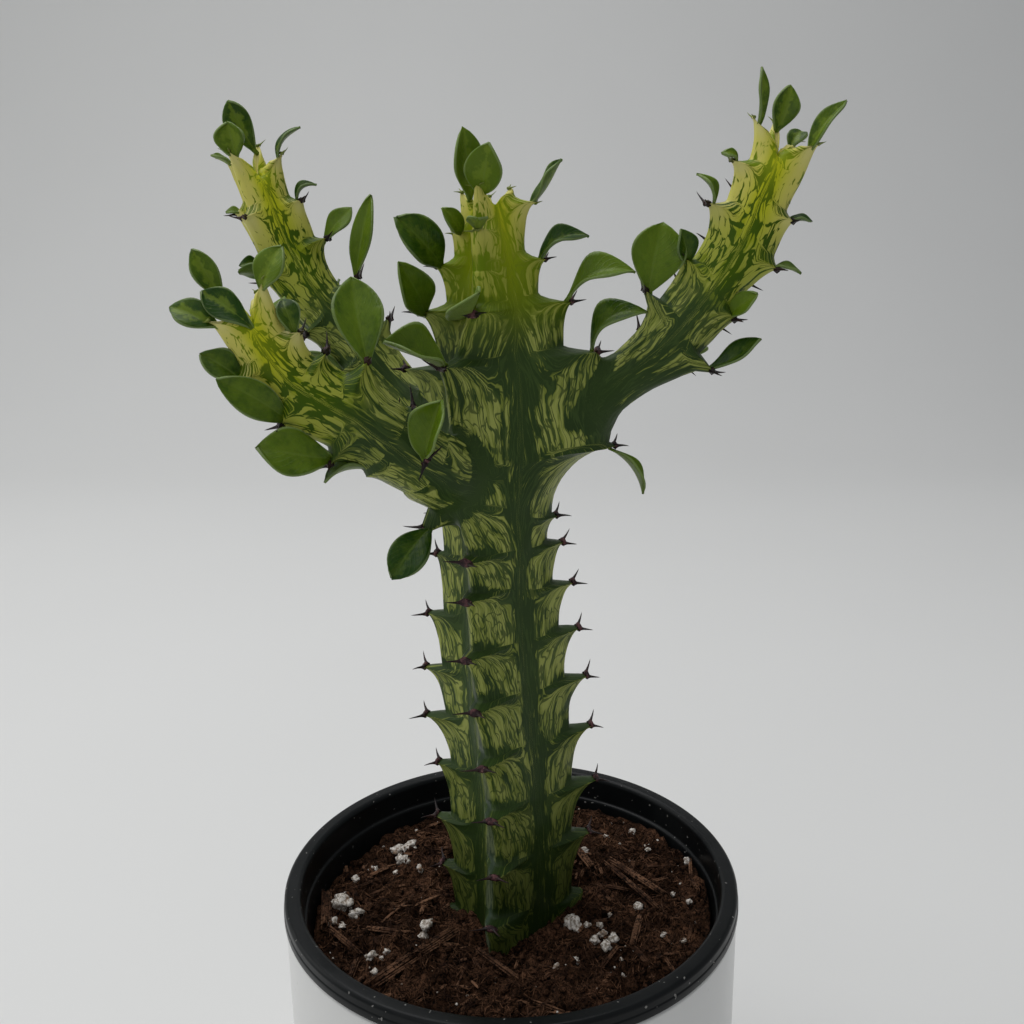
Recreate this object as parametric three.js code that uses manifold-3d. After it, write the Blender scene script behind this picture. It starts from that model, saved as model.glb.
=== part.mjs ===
// Potted euphorbia: a marbled, four-ribbed succulent with a leader and three arms, standing in
// soil in a black growing pot, which hangs by its lip in a white outer pot.
// Millimetres, +Z up. The origin is the middle of the outer pot's flat base, and -Y faces the viewer.
import * as THREE from 'three';
import { mergeVertices } from 'three/addons/utils/BufferGeometryUtils.js';
import loadManifold from 'manifold-3d';

const wasm = await loadManifold();
wasm.setup();

// ---------------------------------------------------------------- driving dimensions

const RIM_HEIGHT = 100; // top of the growing pot's lip above the table
const LIP_RADIUS = 55; // outside of the growing pot's lip
const LIP_DEPTH = 4.3; // how far the lip hangs down outside
const LIP_WIDTH = 4; // flat top of the lip, across
const LEDGE_DROP = 7.1; // stacking ledge below the rim, inside
const GROWING_POT_DEPTH = 90;
const GROWING_POT_WALL = 1.2;
const GROWING_POT_FOOT_RADIUS = 40;
const DRAIN_HOLE_RADIUS = 4;
const DRAIN_HOLE_COUNT = 6;
const DRAIN_CIRCLE = 27; // radius of the circle that the drain holes lie on

const OUTER_POT_RADIUS = 54.6;
const OUTER_POT_WALL = 3;
const OUTER_POT_FLOOR = 4;
const GAP = 0.3; // between pieces that touch

const SOIL_DROP = 10.5; // middle of the soil below the rim
const SOIL_TILT_X = 0.045; // it lies higher on the right
const SOIL_TILT_Y = 0.025; // and towards the back
const SOIL_ROUGHNESS = 1.1;
const PERLITE_COUNT = 30;
const BARK_COUNT = 16;

const STEM_FOOT = 60; // the stem's buried end, above the table
const RIB_HALF_THICKNESS = 1.1;
const SHELF_RISE = 0.8; // a tooth's upper side runs almost level, back to the notch
const CROWN_DEPTH = 3.5; // grooves below the teeth at a growing tip
const HORN_ROOT = 0.6; // notch beside a stem's top tooth, as a share of the tooth's reach
const LEAF_THICKNESS = 0.8;
const SPINE_ROOT_RADIUS = 0.75;
const SPINE_LENGTH = 4.6;
const SPINE_SPREAD = 62; // degrees from the rib's plane to each of the pair
const SPINE_SCATTER = 14;
const NEAR_SPINE_LIFT = 0.1; // how much a spine leans along the stem
const FAR_SPINE_LIFT = 0.5;
const YOUNG_SPINES = 25; // spines get shorter over this last stretch of a stem
const YOUNG_TOP = 10; // every tooth of this last stretch has its spines
const BURIED_REACH = 3; // teeth less than this above the soil's middle have none
const LEAST_TOOTH = 0.9; // and so have teeth that stand out less than this
const STEM_CLEARANCE = 0.5; // sideways, so that the gap square to a rib's flank is GAP
const SEED = 8198;

// ---------------------------------------------------------------- small helpers

const rad = THREE.MathUtils.degToRad;
const vec = (point) => new THREE.Vector3(...point);

// A small repeatable random draw between 0 and 1.
function makeRandom(seed) {
  let state = seed;
  return () => {
    state = (state * 1664525 + 1013904223) % 4294967296;
    return state / 4294967296;
  };
}

// Straight-line reading of a list of [place, value] pairs.
function readAlong(pairs, place) {
  if (place <= pairs[0][0]) return pairs[0][1];
  for (let i = 1; i < pairs.length; i += 1) {
    const [here, value] = pairs[i];
    const [before, last] = pairs[i - 1];
    if (place <= here) return last + ((value - last) * (place - before)) / (here - before);
  }
  return pairs[pairs.length - 1][1];
}

function makeGeometry(vertices, triangles) {
  const geometry = new THREE.BufferGeometry();
  geometry.setAttribute('position', new THREE.Float32BufferAttribute(vertices.flat(), 3));
  geometry.setIndex(triangles.flat());
  return geometry;
}

function toSolid(geometry) {
  const bare = geometry.clone();
  bare.deleteAttribute('normal');
  bare.deleteAttribute('uv');
  const merged = mergeVertices(bare, 1e-4);
  const mesh = new wasm.Mesh({
    numProp: 3,
    vertProperties: new Float32Array(merged.attributes.position.array),
    triVerts: new Uint32Array(merged.index.array),
  });
  return new wasm.Manifold(mesh);
}

function toGeometry(solid) {
  const mesh = solid.getMesh();
  const geometry = new THREE.BufferGeometry();
  geometry.setAttribute('position', new THREE.BufferAttribute(new Float32Array(mesh.vertProperties), 3));
  geometry.setIndex(new THREE.BufferAttribute(new Uint32Array(mesh.triVerts), 1));
  return geometry;
}

function joinAll(solids) {
  let queue = solids;
  while (queue.length > 1) {
    const next = [];
    for (let i = 0; i < queue.length; i += 2) {
      next.push(i + 1 < queue.length ? queue[i].add(queue[i + 1]) : queue[i]);
    }
    queue = next;
  }
  return queue[0];
}

// The main body of a cut solid, without the loose scraps.
function largestBody(solid) {
  const bodies = solid.decompose();
  return bodies.reduce((best, body) => (body.volume() > best.volume() ? body : best));
}

// A turned shape from [radius, height] points, about Z.
function turned(points, segments) {
  const profile = points.map(([radius, height]) => new THREE.Vector2(radius, height));
  return new THREE.LatheGeometry(profile, segments).rotateX(Math.PI / 2);
}

// ---------------------------------------------------------------- stems

// The line that a stem grows along, with a frame at each place: 0 degrees looks at the viewer and
// 90 degrees to the right of it, or down and right on an arm that leans to the right.
class Axis {
  constructor(points) {
    this.curve = new THREE.CatmullRomCurve3(points.map(vec));
    this.curve.arcLengthDivisions = 400;
    this.length = this.curve.getLength();
  }

  frame(along) {
    const inside = THREE.MathUtils.clamp(along / this.length, 0, 1);
    const origin = this.curve.getPointAt(inside);
    const forward = this.curve.getTangentAt(inside);
    origin.addScaledVector(forward, along - inside * this.length);
    const front = new THREE.Vector3(0, -1, 0);
    front.addScaledVector(forward, -front.dot(forward)).normalize();
    const side = new THREE.Vector3().crossVectors(forward, front);
    return { origin, forward, front, side };
  }

  outward(along, angle) {
    const { front, side } = this.frame(along);
    const direction = front.multiplyScalar(Math.cos(rad(angle)));
    return direction.addScaledVector(side, Math.sin(rad(angle)));
  }

  point(along, angle, reach) {
    return this.frame(along).origin.addScaledVector(this.outward(along, angle), reach);
  }
}

// A rib is a list of teeth from the foot up: [place along the stem, angle, reach of the tip,
// reach of the notch above it]. Every rib of one stem has the same number of teeth, and the top
// one stands free as a horn.
function rib(teeth, fixedAngle) {
  return teeth.map((tooth, index) => {
    const full = fixedAngle === undefined ? tooth : [tooth[0], fixedAngle, ...tooth.slice(1)];
    const [along, angle, reach, given = reach] = full;
    const isHorn = index === teeth.length - 1;
    return { along, angle, reach, notch: isHorn ? HORN_ROOT * reach : given, isHorn };
  });
}

// Rows of one cell between two teeth: the tip, the inner end of its level shelf, then the hollow
// crescent that climbs to the next tip. A smooth stretch with no teeth has even rows, and a tooth
// that stands far out has one row more.
const TOOTH_ROWS = ['tip', 0, 0.66];
const BIG_TOOTH_ROWS = ['tip', 0, 0.5, 0.86];
const SMOOTH_ROWS = ['tip', 0.33, 0.66];
const BIG_TOOTH = 10;

// The crescent is a quarter of a circle: straight up at the notch, level under the tip.
const crescent = (share) => 1 - Math.sqrt(1 - share * share);

function cellRows(ribs, cell) {
  if (cell === ribs[0].length - 1) return ['tip'];
  if (ribs.every((teeth) => teeth[cell].notch === teeth[cell].reach)) return SMOOTH_ROWS;
  const isBig = ribs.some((teeth) => teeth[cell + 1].reach - teeth[cell].notch > BIG_TOOTH);
  return isBig ? BIG_TOOTH_ROWS : TOOTH_ROWS;
}

function ribRow(teeth, cell, row) {
  const lower = teeth[cell];
  if (cell === teeth.length - 1 || row === 'tip') {
    const { along, angle, reach, notch } = lower;
    return { along, angle, edge: reach, valley: Math.min(notch, reach) };
  }
  const upper = teeth[cell + 1];
  const start = lower.along + (lower.notch < lower.reach ? SHELF_RISE : 0.1);
  const edge = lower.notch + (upper.reach - lower.notch) * crescent(row);
  const valley = lower.notch + (Math.min(upper.notch, upper.reach) - lower.notch) * row;
  return {
    along: start + (upper.along - start) * row,
    angle: lower.angle + (upper.angle - lower.angle) * row,
    edge,
    valley: Math.min(valley, edge),
  };
}

// How far the grooves sink below the teeth at the growing tip, so that its teeth form a crown.
function crownSink(cells, cell, row, share) {
  if (cell === cells - 1) return CROWN_DEPTH * share;
  return cell === cells - 2 && row !== 'tip' ? CROWN_DEPTH * share * row ** 2 : 0;
}

// Reach of the skin at a share of the way from a rib's edge (0) to the middle of the groove (1).
function skinReach(row, core, share) {
  return core + (row.valley - core) * (1 - share) ** 1.9 + (row.edge - row.valley) * (1 - share) ** 4;
}

function buildStem({ axis, ribs, core }, grow = 0) {
  const vertices = [];
  const triangles = [];
  const rows = [];
  const cells = ribs[0].length;
  for (let cell = 0; cell < cells; cell += 1) {
    for (const step of cellRows(ribs, cell)) rows.push([cell, step]);
  }
  const gaps = ribs.map((here, index) => {
    const next = ribs[(index + 1) % ribs.length];
    const middle = Math.floor(cells / 2);
    const width = (next[middle].angle - here[middle].angle + 720) % 360;
    return { here, next, steps: width > 140 ? 6 : 4 };
  });
  const columns = gaps.reduce((sum, gap) => sum + gap.steps + 1, 0);
  for (const [cell, step] of rows) {
    for (const { here, next, steps } of gaps) {
      const left = ribRow(here, cell, step);
      const right = ribRow(next, cell, step);
      const turn = (right.angle - left.angle + 720) % 360;
      const trimLeft = THREE.MathUtils.radToDeg(Math.atan(RIB_HALF_THICKNESS / left.edge));
      const trimRight = THREE.MathUtils.radToDeg(Math.atan(RIB_HALF_THICKNESS / right.edge));
      for (let i = 0; i <= steps; i += 1) {
        const across = i / steps;
        const blend = THREE.MathUtils.smoothstep(across, 0.1, 0.9);
        const along = left.along + (right.along - left.along) * blend;
        const near = across < 0.5 ? left : right;
        const share = 1 - Math.abs(across * 2 - 1);
        const reach = skinReach(near, readAlong(core, along), share) + grow;
        const angle = left.angle + trimLeft + (turn - trimLeft - trimRight) * across;
        const sink = crownSink(cells, cell, step, share);
        vertices.push(axis.point(along - sink, angle, reach).toArray());
      }
    }
  }
  for (let r = 0; r < rows.length - 1; r += 1) {
    for (let c = 0; c < columns; c += 1) {
      const a = r * columns + c;
      const b = r * columns + ((c + 1) % columns);
      triangles.push([a, b, b + columns], [a, b + columns, a + columns]);
    }
  }
  closeEnd(vertices, triangles, 0, columns, true);
  closeEnd(vertices, triangles, (rows.length - 1) * columns, columns, false);
  return makeGeometry(vertices, triangles);
}

// A fan over one end row, to the mean of its points.
function closeEnd(vertices, triangles, first, columns, isFoot) {
  const middle = new THREE.Vector3();
  for (let c = 0; c < columns; c += 1) middle.add(vec(vertices[first + c]));
  middle.divideScalar(columns);
  const centre = vertices.push(middle.toArray()) - 1;
  for (let c = 0; c < columns; c += 1) {
    const a = first + c;
    const b = first + ((c + 1) % columns);
    triangles.push(isFoot ? [centre, b, a] : [centre, a, b]);
  }
}

// The trunk and its leader. Teeth are given by their height above the table.
const up = (height) => height - STEM_FOOT;
const trunk = {
  axis: new Axis([
    [1, -2, STEM_FOOT], [1, -2, 88], [0.9, -2, 125], [-0.6, -2, 145], [-1.3, -2, 170], [-1.2, -2, 194],
    [-0.9, -2, 210], [-0.9, -2, 225], [-1.2, -2, 238], [-1.9, -2, 250], [-2.7, -2, 259],
  ]),
  core: [
    [0, 9.5], [up(100), 9.2], [up(125), 8.8], [up(150), 8.6], [up(175), 8], [up(190), 8.4],
    [up(205), 10], [up(220), 9.5], [up(232), 7.5], [up(245), 5], [up(258), 3],
  ],
  ribs: [
    rib([
      [up(60), -19, 14], [up(96.5), -19, 18, 14], [up(110.4), -15, 18.5, 13.8], [up(124.8), -16, 18.7, 14],
      [up(138), -18, 18.8, 14], [up(151), -20, 18.8, 14], [up(162.7), -25, 18.6, 13.6],
      [up(175.6), -24, 18, 13],
      [up(184), -25, 17, 13.4], [up(194.6), -39, 15, 14.2], [up(202), -40, 14.8, 14.2],
      [up(225), -42, 17.5, 12.5], [up(235.7), -19, 14.5, 10], [up(244), -19, 9.2, 9],
      [up(252), -20, 8.5, 6], [up(261), -18, 5.5],
    ]),
    rib([
      [up(60), 15], [up(92.5), 17, 14], [up(109), 19, 14], [up(122.4), 20.8, 14.2], [up(135.4), 20.4, 14.5],
      [up(149.2), 20.2, 14.2], [up(161.8), 18.6, 13.2], [up(173.3), 17.4, 12], [up(183.3), 15, 10.8],
      [up(189.8), 13.4, 11.8], [up(205.4), 26.8, 25], [up(225.7), 22.6, 14.2], [up(236.4), 16.8, 9],
      [up(245.2), 11.5, 6.8], [up(256.5), 10.4, 5.5], [up(260), 5],
    ], 103),
    rib([
      [up(60), 14], [up(90), 17, 14], [up(103), 18.5, 14], [up(117), 19, 14], [up(131), 19, 14],
      [up(144), 18.5, 14], [up(157), 18, 13.5], [up(169), 17.5, 13], [up(180), 16.5, 12.5],
      [up(190), 16, 12.5], [up(202), 16, 13], [up(214), 17, 13], [up(227), 15.5, 10.5],
      [up(239), 12.5, 7.5], [up(250), 9.5, 6], [up(259), 5.5],
    ], 177),
    rib([
      [up(60), 252, 15], [up(88), 252, 18, 15.5], [up(99.6), 252, 19.2, 15.5], [up(112.9), 252, 20.4, 16],
      [up(128.5), 252, 19.2, 15], [up(141.3), 252, 20.8, 15], [up(152.9), 252, 19.8, 14.8],
      [up(166.1), 252, 18.2, 13.6], [up(180.5), 252, 15.4, 13], [up(190), 250, 15, 14],
      [up(203), 244, 18, 17], [up(222.7), 250, 22.4, 13.5], [up(235.6), 256, 17.6, 10.5],
      [up(245.4), 256, 12.6, 8], [up(252), 256, 8, 5.5], [up(260.2), 256, 5.3],
    ]),
  ],
};

const rightArm = {
  axis: new Axis([
    [1, -2, 207.4], [8.1, 0, 209.7], [19.3, 3, 214.8], [27.9, 5, 220.7], [36.8, 6, 227.5], [44.9, 6, 237],
    [51.8, 6, 247.1], [55.7, 6, 257.3], [58.6, 6, 264.6], [60.3, 6, 272],
  ]),
  core: [[8, 6], [27, 4.6], [42, 5.6], [60, 5.6], [75, 5], [85, 3.9], [94, 2.5]],
  ribs: [
    rib([
      [4, 6], [27, 5.4], [47.4, 12.4, 7.9], [58.4, 9.8, 7.5], [73.8, 11.1, 6.6], [83.2, 9.5, 5.4], [94, 7.3],
    ], -80),
    rib([
      [4, 6], [27, 5.4], [44.2, 11.8, 6.5], [54.7, 8.2, 5.6], [66.9, 9.5, 7], [76, 8.6, 6], [91.3, 8],
    ], 70),
    rib([[4, 6], [27, 5.4], [42, 10.5, 6.8], [52, 10.5, 6.8], [63, 10, 6.8], [77, 9.2, 6], [92, 6.5]], 140),
    rib([
      [4, 208, 6], [27, 208, 5.4], [40, 208, 10, 6.8], [54, 208, 10.5, 6.8], [66, 208, 10, 6.6],
      [79, 204, 9.5, 5.5], [95, 190, 5.6],
    ]),
  ],
};

const backArm = {
  axis: new Axis([
    [-3, 0, 207.1], [-7.5, 3, 207.6], [-16.8, 9, 210.8], [-26.2, 14, 218.3], [-36, 17, 229.2],
    [-45.8, 19, 241.7], [-50.6, 20, 252.3], [-53.6, 20, 261.3], [-55.8, 20, 268.3], [-56.8, 20, 273],
  ]),
  core: [[8, 6], [27, 5.2], [42, 5.8], [60, 5.8], [75, 5.2], [85, 3.9], [92, 2.5]],
  ribs: [
    rib([[4, 6], [27, 6], [38, 9.5, 6.8], [50, 9.8, 6.8], [63.4, 9.5, 6.8], [78, 8.2, 5.2], [92, 5.8]], -40),
    rib([
      [4, 6], [27, 6], [41, 10.5, 7.4], [53.1, 11.2, 6], [67, 10.1, 6.9], [77.8, 7.9, 5.1], [88.9, 7.2],
    ], 85),
    rib([[4, 6], [27, 6], [40, 10, 7], [52, 10, 7], [62, 10, 6.8], [75, 8.5, 5.5], [93, 6]], 170),
    rib([[4, 6], [27, 6], [44, 10, 7], [56, 10, 7], [68, 9.5, 7.1], [80, 8.7, 5.4], [91.5, 7]], 250),
  ],
};

const frontArm = {
  axis: new Axis([
    [-3.1, -3, 201], [-9.1, -8, 200.4], [-15.2, -16, 205.2], [-22.6, -22, 211.5], [-30.6, -26, 218],
    [-40.1, -28, 224.3], [-44.8, -30, 231.9], [-47.1, -31, 238.3], [-48.7, -31, 241.9],
  ]),
  core: [[-3, 5], [10, 7], [20, 6], [35, 6.2], [50, 5.8], [62, 4.2], [71, 2.8]],
  ribs: [
    rib([
      [-3, -90, 5.5], [10, -90, 13.6, 8.4], [21, -80, 7.4], [30.9, -70, 8.4, 7.6], [39.5, -62, 11, 7.5],
      [50.7, -62, 8.7, 6.5], [59, -62, 8.9, 5.8], [70, -62, 7.6],
    ]),
    rib([
      [-3, 5.5], [10, 8.2], [21, 7], [31, 8.5, 7.2], [43, 11.4, 6.5], [51, 9.2, 6.2], [61, 7.8, 4.8],
      [72.5, 5.4],
    ], 85),
    rib([
      [-3, 5.5], [10, 8.2], [21, 7], [28, 9, 7], [38, 10, 7], [49, 9.5, 6.5], [60, 8.5, 5.4], [71.5, 6],
    ], 160),
    rib([
      [-3, 5.5], [10, 8.2], [21, 7], [27, 9, 7], [37, 10, 7], [47, 10, 6.5], [57, 9, 6], [74, 8],
    ], 225),
  ],
};

const STEMS = [trunk, rightArm, backArm, frontArm];

// ---------------------------------------------------------------- spines

// A pair of spines as one spindle of three sides, pointed at both ends, with its middle sunk in
// the tooth.
function buildSpinePair(middle, outward, tips, radius) {
  const along = tips[1].clone().sub(tips[0]).normalize();
  const upward = new THREE.Vector3().crossVectors(along, outward).normalize();
  const corners = [0, 1, 2].map((i) => {
    const angle = (i * 2 * Math.PI) / 3;
    const corner = middle.clone().addScaledVector(outward, radius * Math.cos(angle));
    return corner.addScaledVector(upward, radius * Math.sin(angle)).toArray();
  });
  const vertices = [tips[0].toArray(), tips[1].toArray(), ...corners];
  return makeGeometry(vertices, [[0, 3, 2], [0, 4, 3], [0, 2, 4], [1, 2, 3], [1, 3, 4], [1, 4, 2]]);
}

// Soil hides the lowest teeth, and the teeth that hardly stand out have lost their spines.
function hasSpines(stem, { along, angle, reach, notch }) {
  const isBuried = stem.axis.point(along, angle, reach).z < RIM_HEIGHT - SOIL_DROP + BURIED_REACH;
  const isSmooth = reach - notch < LEAST_TOOTH && along < stem.axis.length - YOUNG_TOP;
  return !isBuried && !isSmooth;
}

// Every tooth that really stands out carries a pair of spines, spread to both sides. The one on
// the far side of the plant stands steeper.
function buildSpines(stem, random) {
  const teeth = stem.ribs.flatMap((row) => row.slice(1).filter((tooth) => hasSpines(stem, tooth)));
  return [...teeth, ...(stem.lonePads ?? [])].map(({ along, angle, reach }) => {
    const position = stem.axis.point(along, angle, reach);
    const youth = THREE.MathUtils.smoothstep(along, stem.axis.length - YOUNG_SPINES, stem.axis.length);
    const { forward } = stem.axis.frame(along);
    const tips = [-1, 1].map((hand) => {
      const spread = hand * (SPINE_SPREAD + SPINE_SCATTER * (random() - 0.5));
      const direction = stem.axis.outward(along, angle + spread);
      const lift = direction.y > 0 ? FAR_SPINE_LIFT : NEAR_SPINE_LIFT;
      direction.addScaledVector(forward, lift).normalize();
      const length = (SPINE_LENGTH + random() - 0.5) * (1 - 0.5 * youth);
      return position.clone().addScaledVector(direction, length);
    });
    const middle = stem.axis.point(along - 0.5, angle, reach - 0.5);
    const outward = stem.axis.outward(along, angle);
    const radius = SPINE_ROOT_RADIUS * (1 - 0.35 * youth);
    return toSolid(buildSpinePair(middle, outward, tips, radius));
  });
}

// ---------------------------------------------------------------- leaves

// Outline of a blade: share of its length, and share of its full width there.
const LEAF_OUTLINE = [[0, 0.16], [0.34, 0.82], [0.66, 0.86], [1, 0]];
const PLAIN_LEAF_OUTLINE = [[0, 0.2], [0.55, 1], [1, 0]];
const SMALL_LEAF = 4.6;

// One blade from its root on a tooth to its tip: width across, bend out of the straight line away
// from its face, and fold, the angle that each half rises from the midrib.
function buildLeaf({ root, tip, face, width, bend = 0.12, fold = 18, plain = width < SMALL_LEAF }) {
  const line = tip.clone().sub(root);
  const length = line.length();
  const heading = line.clone().normalize();
  const normal = face.clone().addScaledVector(heading, -face.dot(heading)).normalize();
  const across = new THREE.Vector3().crossVectors(heading, normal);
  const stations = plain ? PLAIN_LEAF_OUTLINE : LEAF_OUTLINE;
  const vertices = [];
  for (const [share, part] of stations) {
    const middle = root.clone().addScaledVector(line, share);
    middle.addScaledVector(normal, bend * length * 4 * share * (1 - share));
    const half = (width / 2) * part;
    const rise = Math.sin(rad(fold)) * half;
    const thick = LEAF_THICKNESS / 2;
    for (const side of [-1, 0, 1]) {
      const place = middle.clone().addScaledVector(across, side * half * Math.cos(rad(fold)));
      place.addScaledVector(normal, Math.abs(side) * rise);
      if (part === 0 && side !== 0) continue;
      vertices.push(place.clone().addScaledVector(normal, thick).toArray());
      vertices.push(place.clone().addScaledVector(normal, -thick).toArray());
    }
  }
  return makeGeometry(vertices, leafTriangles(stations.length));
}

// Each station has a left, a middle and a right place, upper then lower; the tip has one place.
function leafTriangles(stationCount) {
  const triangles = [];
  const upper = (station, place) => station * 6 + place * 2;
  const lower = (station, place) => station * 6 + place * 2 + 1;
  const quad = (a, b, c, d) => triangles.push([a, b, c], [a, c, d]);
  const last = stationCount - 1;
  quad(upper(0, 0), lower(0, 0), lower(0, 1), upper(0, 1));
  quad(upper(0, 1), lower(0, 1), lower(0, 2), upper(0, 2));
  for (let s = 0; s < last - 1; s += 1) {
    for (const place of [0, 1]) {
      const a = upper(s, place);
      const b = upper(s, place + 1);
      const c = upper(s + 1, place + 1);
      const d = upper(s + 1, place);
      triangles.push([a, b, c], [a, c, d]);
      triangles.push([a + 1, c + 1, b + 1], [a + 1, d + 1, c + 1]);
    }
    quad(upper(s, 0), upper(s + 1, 0), lower(s + 1, 0), lower(s, 0));
    quad(upper(s, 2), lower(s, 2), lower(s + 1, 2), upper(s + 1, 2));
  }
  const tip = last * 6;
  const before = last - 1;
  for (const place of [0, 1]) {
    triangles.push([upper(before, place), upper(before, place + 1), tip]);
    triangles.push([lower(before, place + 1), lower(before, place), tip + 1]);
  }
  quad(upper(before, 0), tip, tip + 1, lower(before, 0));
  quad(upper(before, 2), lower(before, 2), tip + 1, tip);
  return triangles;
}

// Pads that sit between the ribs, as place along the stem, angle and reach.
frontArm.lonePads = [{ along: 26, angle: 16, reach: 8.6 }];

// The leaves that face the viewer: the stem and tooth that each grows on, its tip, its width,
// the way its upper face looks, and its bend and fold where they differ from the usual. A leaf
// between the ribs has no rib, and its place, angle and reach stand where the tooth would.
const LEAVES = [
  [trunk, 3, 15, [-7, -8, 271.7], 7, [0.2, -1, 0.2], 0.05],
  [trunk, 0, 15, [-1.8, -12, 268.4], 8, [0, -1, 0.1], 0.04],
  [trunk, 1, 14, [12.8, -2, 265.8], 5, [-0.5, -0.3, 0.8], -0.06, 28],
  [trunk, 1, 13, [18.5, -0.5, 250.5], 6, [0, -0.5, 1], 0.22, 24],
  [trunk, 1, 12, [28.5, 0, 242.9], 8, [0, -0.6, 1], 0.24, 20],
  [trunk, 1, 11, [31.4, 0.5, 234.4], 8, [-0.5, -0.5, 0.8], 0.3, 24],
  [trunk, 1, 10, [31.3, 2, 193.9], 5, [1, -0.4, 0.3], 0.14, 26],
  [trunk, 3, 13, [-20.9, -9, 254.7], 9.5, [0.2, -1, 0.3]],
  [trunk, 3, 14, [-11.6, -8, 256.3], 4.5, [0.2, -1, 0.2]],
  [trunk, 0, 14, [-4.3, -14, 254], 4.5, [0, -1, 0.6]],
  [trunk, 3, 12, [-20.5, -11, 245.7], 8, [0.3, -1, 0.2]],
  [trunk, null, [175.5, -94, 12.4], [-4.1, -24, 240.3], 8.5, [-0.3, -0.6, 1], -0.1, 36],
  [trunk, 0, 11, [-23.3, -20, 230.7], 10, [0.1, -0.6, 1], 0.05, 38],
  [frontArm, 0, 1, [-24, -18, 181.2], 9, [-0.4, -1, 0.5], 0.1, 10],
  [rightArm, 0, 2, [34.9, 5, 253.1], 12, [0, -1, 0], 0.05, 12],
  [rightArm, 0, 3, [38.2, 1, 251.5], 6, [0.4, -1, 0], 0.1, 20],
  [rightArm, 0, 4, [41.7, 3, 262.8], 3.6, [0, -0.6, 1], 0.25, 25],
  [rightArm, 0, 5, [46.8, 3.5, 266.9], 3, [0, -0.6, 1], 0.3, 25],
  [rightArm, 0, 6, [54.9, 5, 283.9], 5, [0.9, -0.6, 0.1], 0.05, 25],
  [rightArm, 3, 6, [62.2, 10, 281], 6, [0.1, -1, 0.1], 0.05],
  [rightArm, 1, 6, [72.8, 4.5, 277.1], 5, [-0.6, -0.7, 0.5], 0.12, 28],
  [rightArm, 1, 5, [66.4, 3, 252.8], 3.2, [0, -0.3, 1], 0.1, 20],
  [rightArm, 1, 4, [64.2, 1, 242], 3.6, [0.2, -0.3, 1], 0.15, 20],
  [rightArm, 1, 3, [54.9, 0, 238], 5, [-0.6, -0.9, 0.3], 0.1, 20],
  [rightArm, 1, 2, [56, 0, 228.4], 7, [-0.3, -0.6, 1], -0.12, 28],
  [backArm, 0, 6, [-59.5, 15, 275.8], 7, [0, -1, 0.1], 0.05],
  [backArm, 2, 6, [-60.4, 21, 281], 6.5, [0.1, -1, 0.1], 0.05],
  [backArm, 3, 6, [-64.9, 20, 269.4], 3.4, [0, -0.3, 1], 0.1],
  [backArm, 1, 6, [-44.5, 20, 275.1], 3.5, [-0.7, -0.5, 0.5], 0.22, 26],
  [backArm, 1, 5, [-41.5, 19.5, 262.7], 3, [-0.2, -0.5, 1], 0.3, 26],
  [backArm, 1, 4, [-33.8, 19, 257.5], 5.5, [-0.5, -1, 0.3], 0.12, 18],
  [backArm, 1, 3, [-29.1, 18, 260.3], 6, [-0.5, -1, 0.1], 0.06, 28],
  [backArm, 3, 5, [-62.8, 21, 257], 3, [0, -0.4, 1], 0.1],
  [backArm, 3, 4, [-60.1, 19, 245.1], 4, [0, -0.6, 1], 0.2, 20],
  [frontArm, 3, 7, [-57.3, -27, 249], 5, [0.3, -1, 0.1], 0.05],
  [frontArm, 0, 7, [-60.5, -33, 238.7], 6, [0.1, -1, 0.7], 0.1],
  [frontArm, null, [66, 10, 4.6], [-54.5, -33, 241.5], 6, [0.3, -1, 0.5], 0.1],
  [frontArm, 1, 7, [-39.7, -31, 249.3], 6.5, [-0.4, -1, 0.2], 0.12, 20],
  [frontArm, 1, 6, [-41, -28, 239.5], 4.5, [0, -1, 0.5], 0.3, 20],
  [frontArm, 0, 6, [-55.8, -33, 230.1], 6, [0, -1, 0.8], 0.12, 20],
  [frontArm, 0, 5, [-51.5, -39, 226.2], 7, [0.2, -1, 0.4], 0.1, 10],
  [frontArm, 0, 4, [-46, -36, 212.8], 9.5, [0.1, -1, 0.4], 0.1, 14],
  [frontArm, 1, 4, [-28.8, -21, 243.3], 10, [0.3, -1, 0.1], 0.06, 16],
  [frontArm, null, [26, 16, 8.6], [-11.8, -27, 219.9], 10, [-0.8, -0.8, 0.1], 0.06, 34],
];

// Young teeth that carry no leaf.
const BARE_TEETH = [
  [trunk, 0, 12], [trunk, 0, 13], [trunk, 2, 15], [trunk, 3, 11], [frontArm, 2, 7], [frontArm, 1, 3],
];

function isListed(list, stem, ribIndex, tooth) {
  return list.some(([s, r, t]) => s === stem && r === ribIndex && t === tooth);
}

// A leaf's root is sunk in its tooth, and deeper in a thin horn.
function leafRoot(stem, { along, angle, reach, isHorn }) {
  return stem.axis.point(along - (isHorn ? 2.2 : 0.6), angle, reach - 1.6);
}

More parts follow.
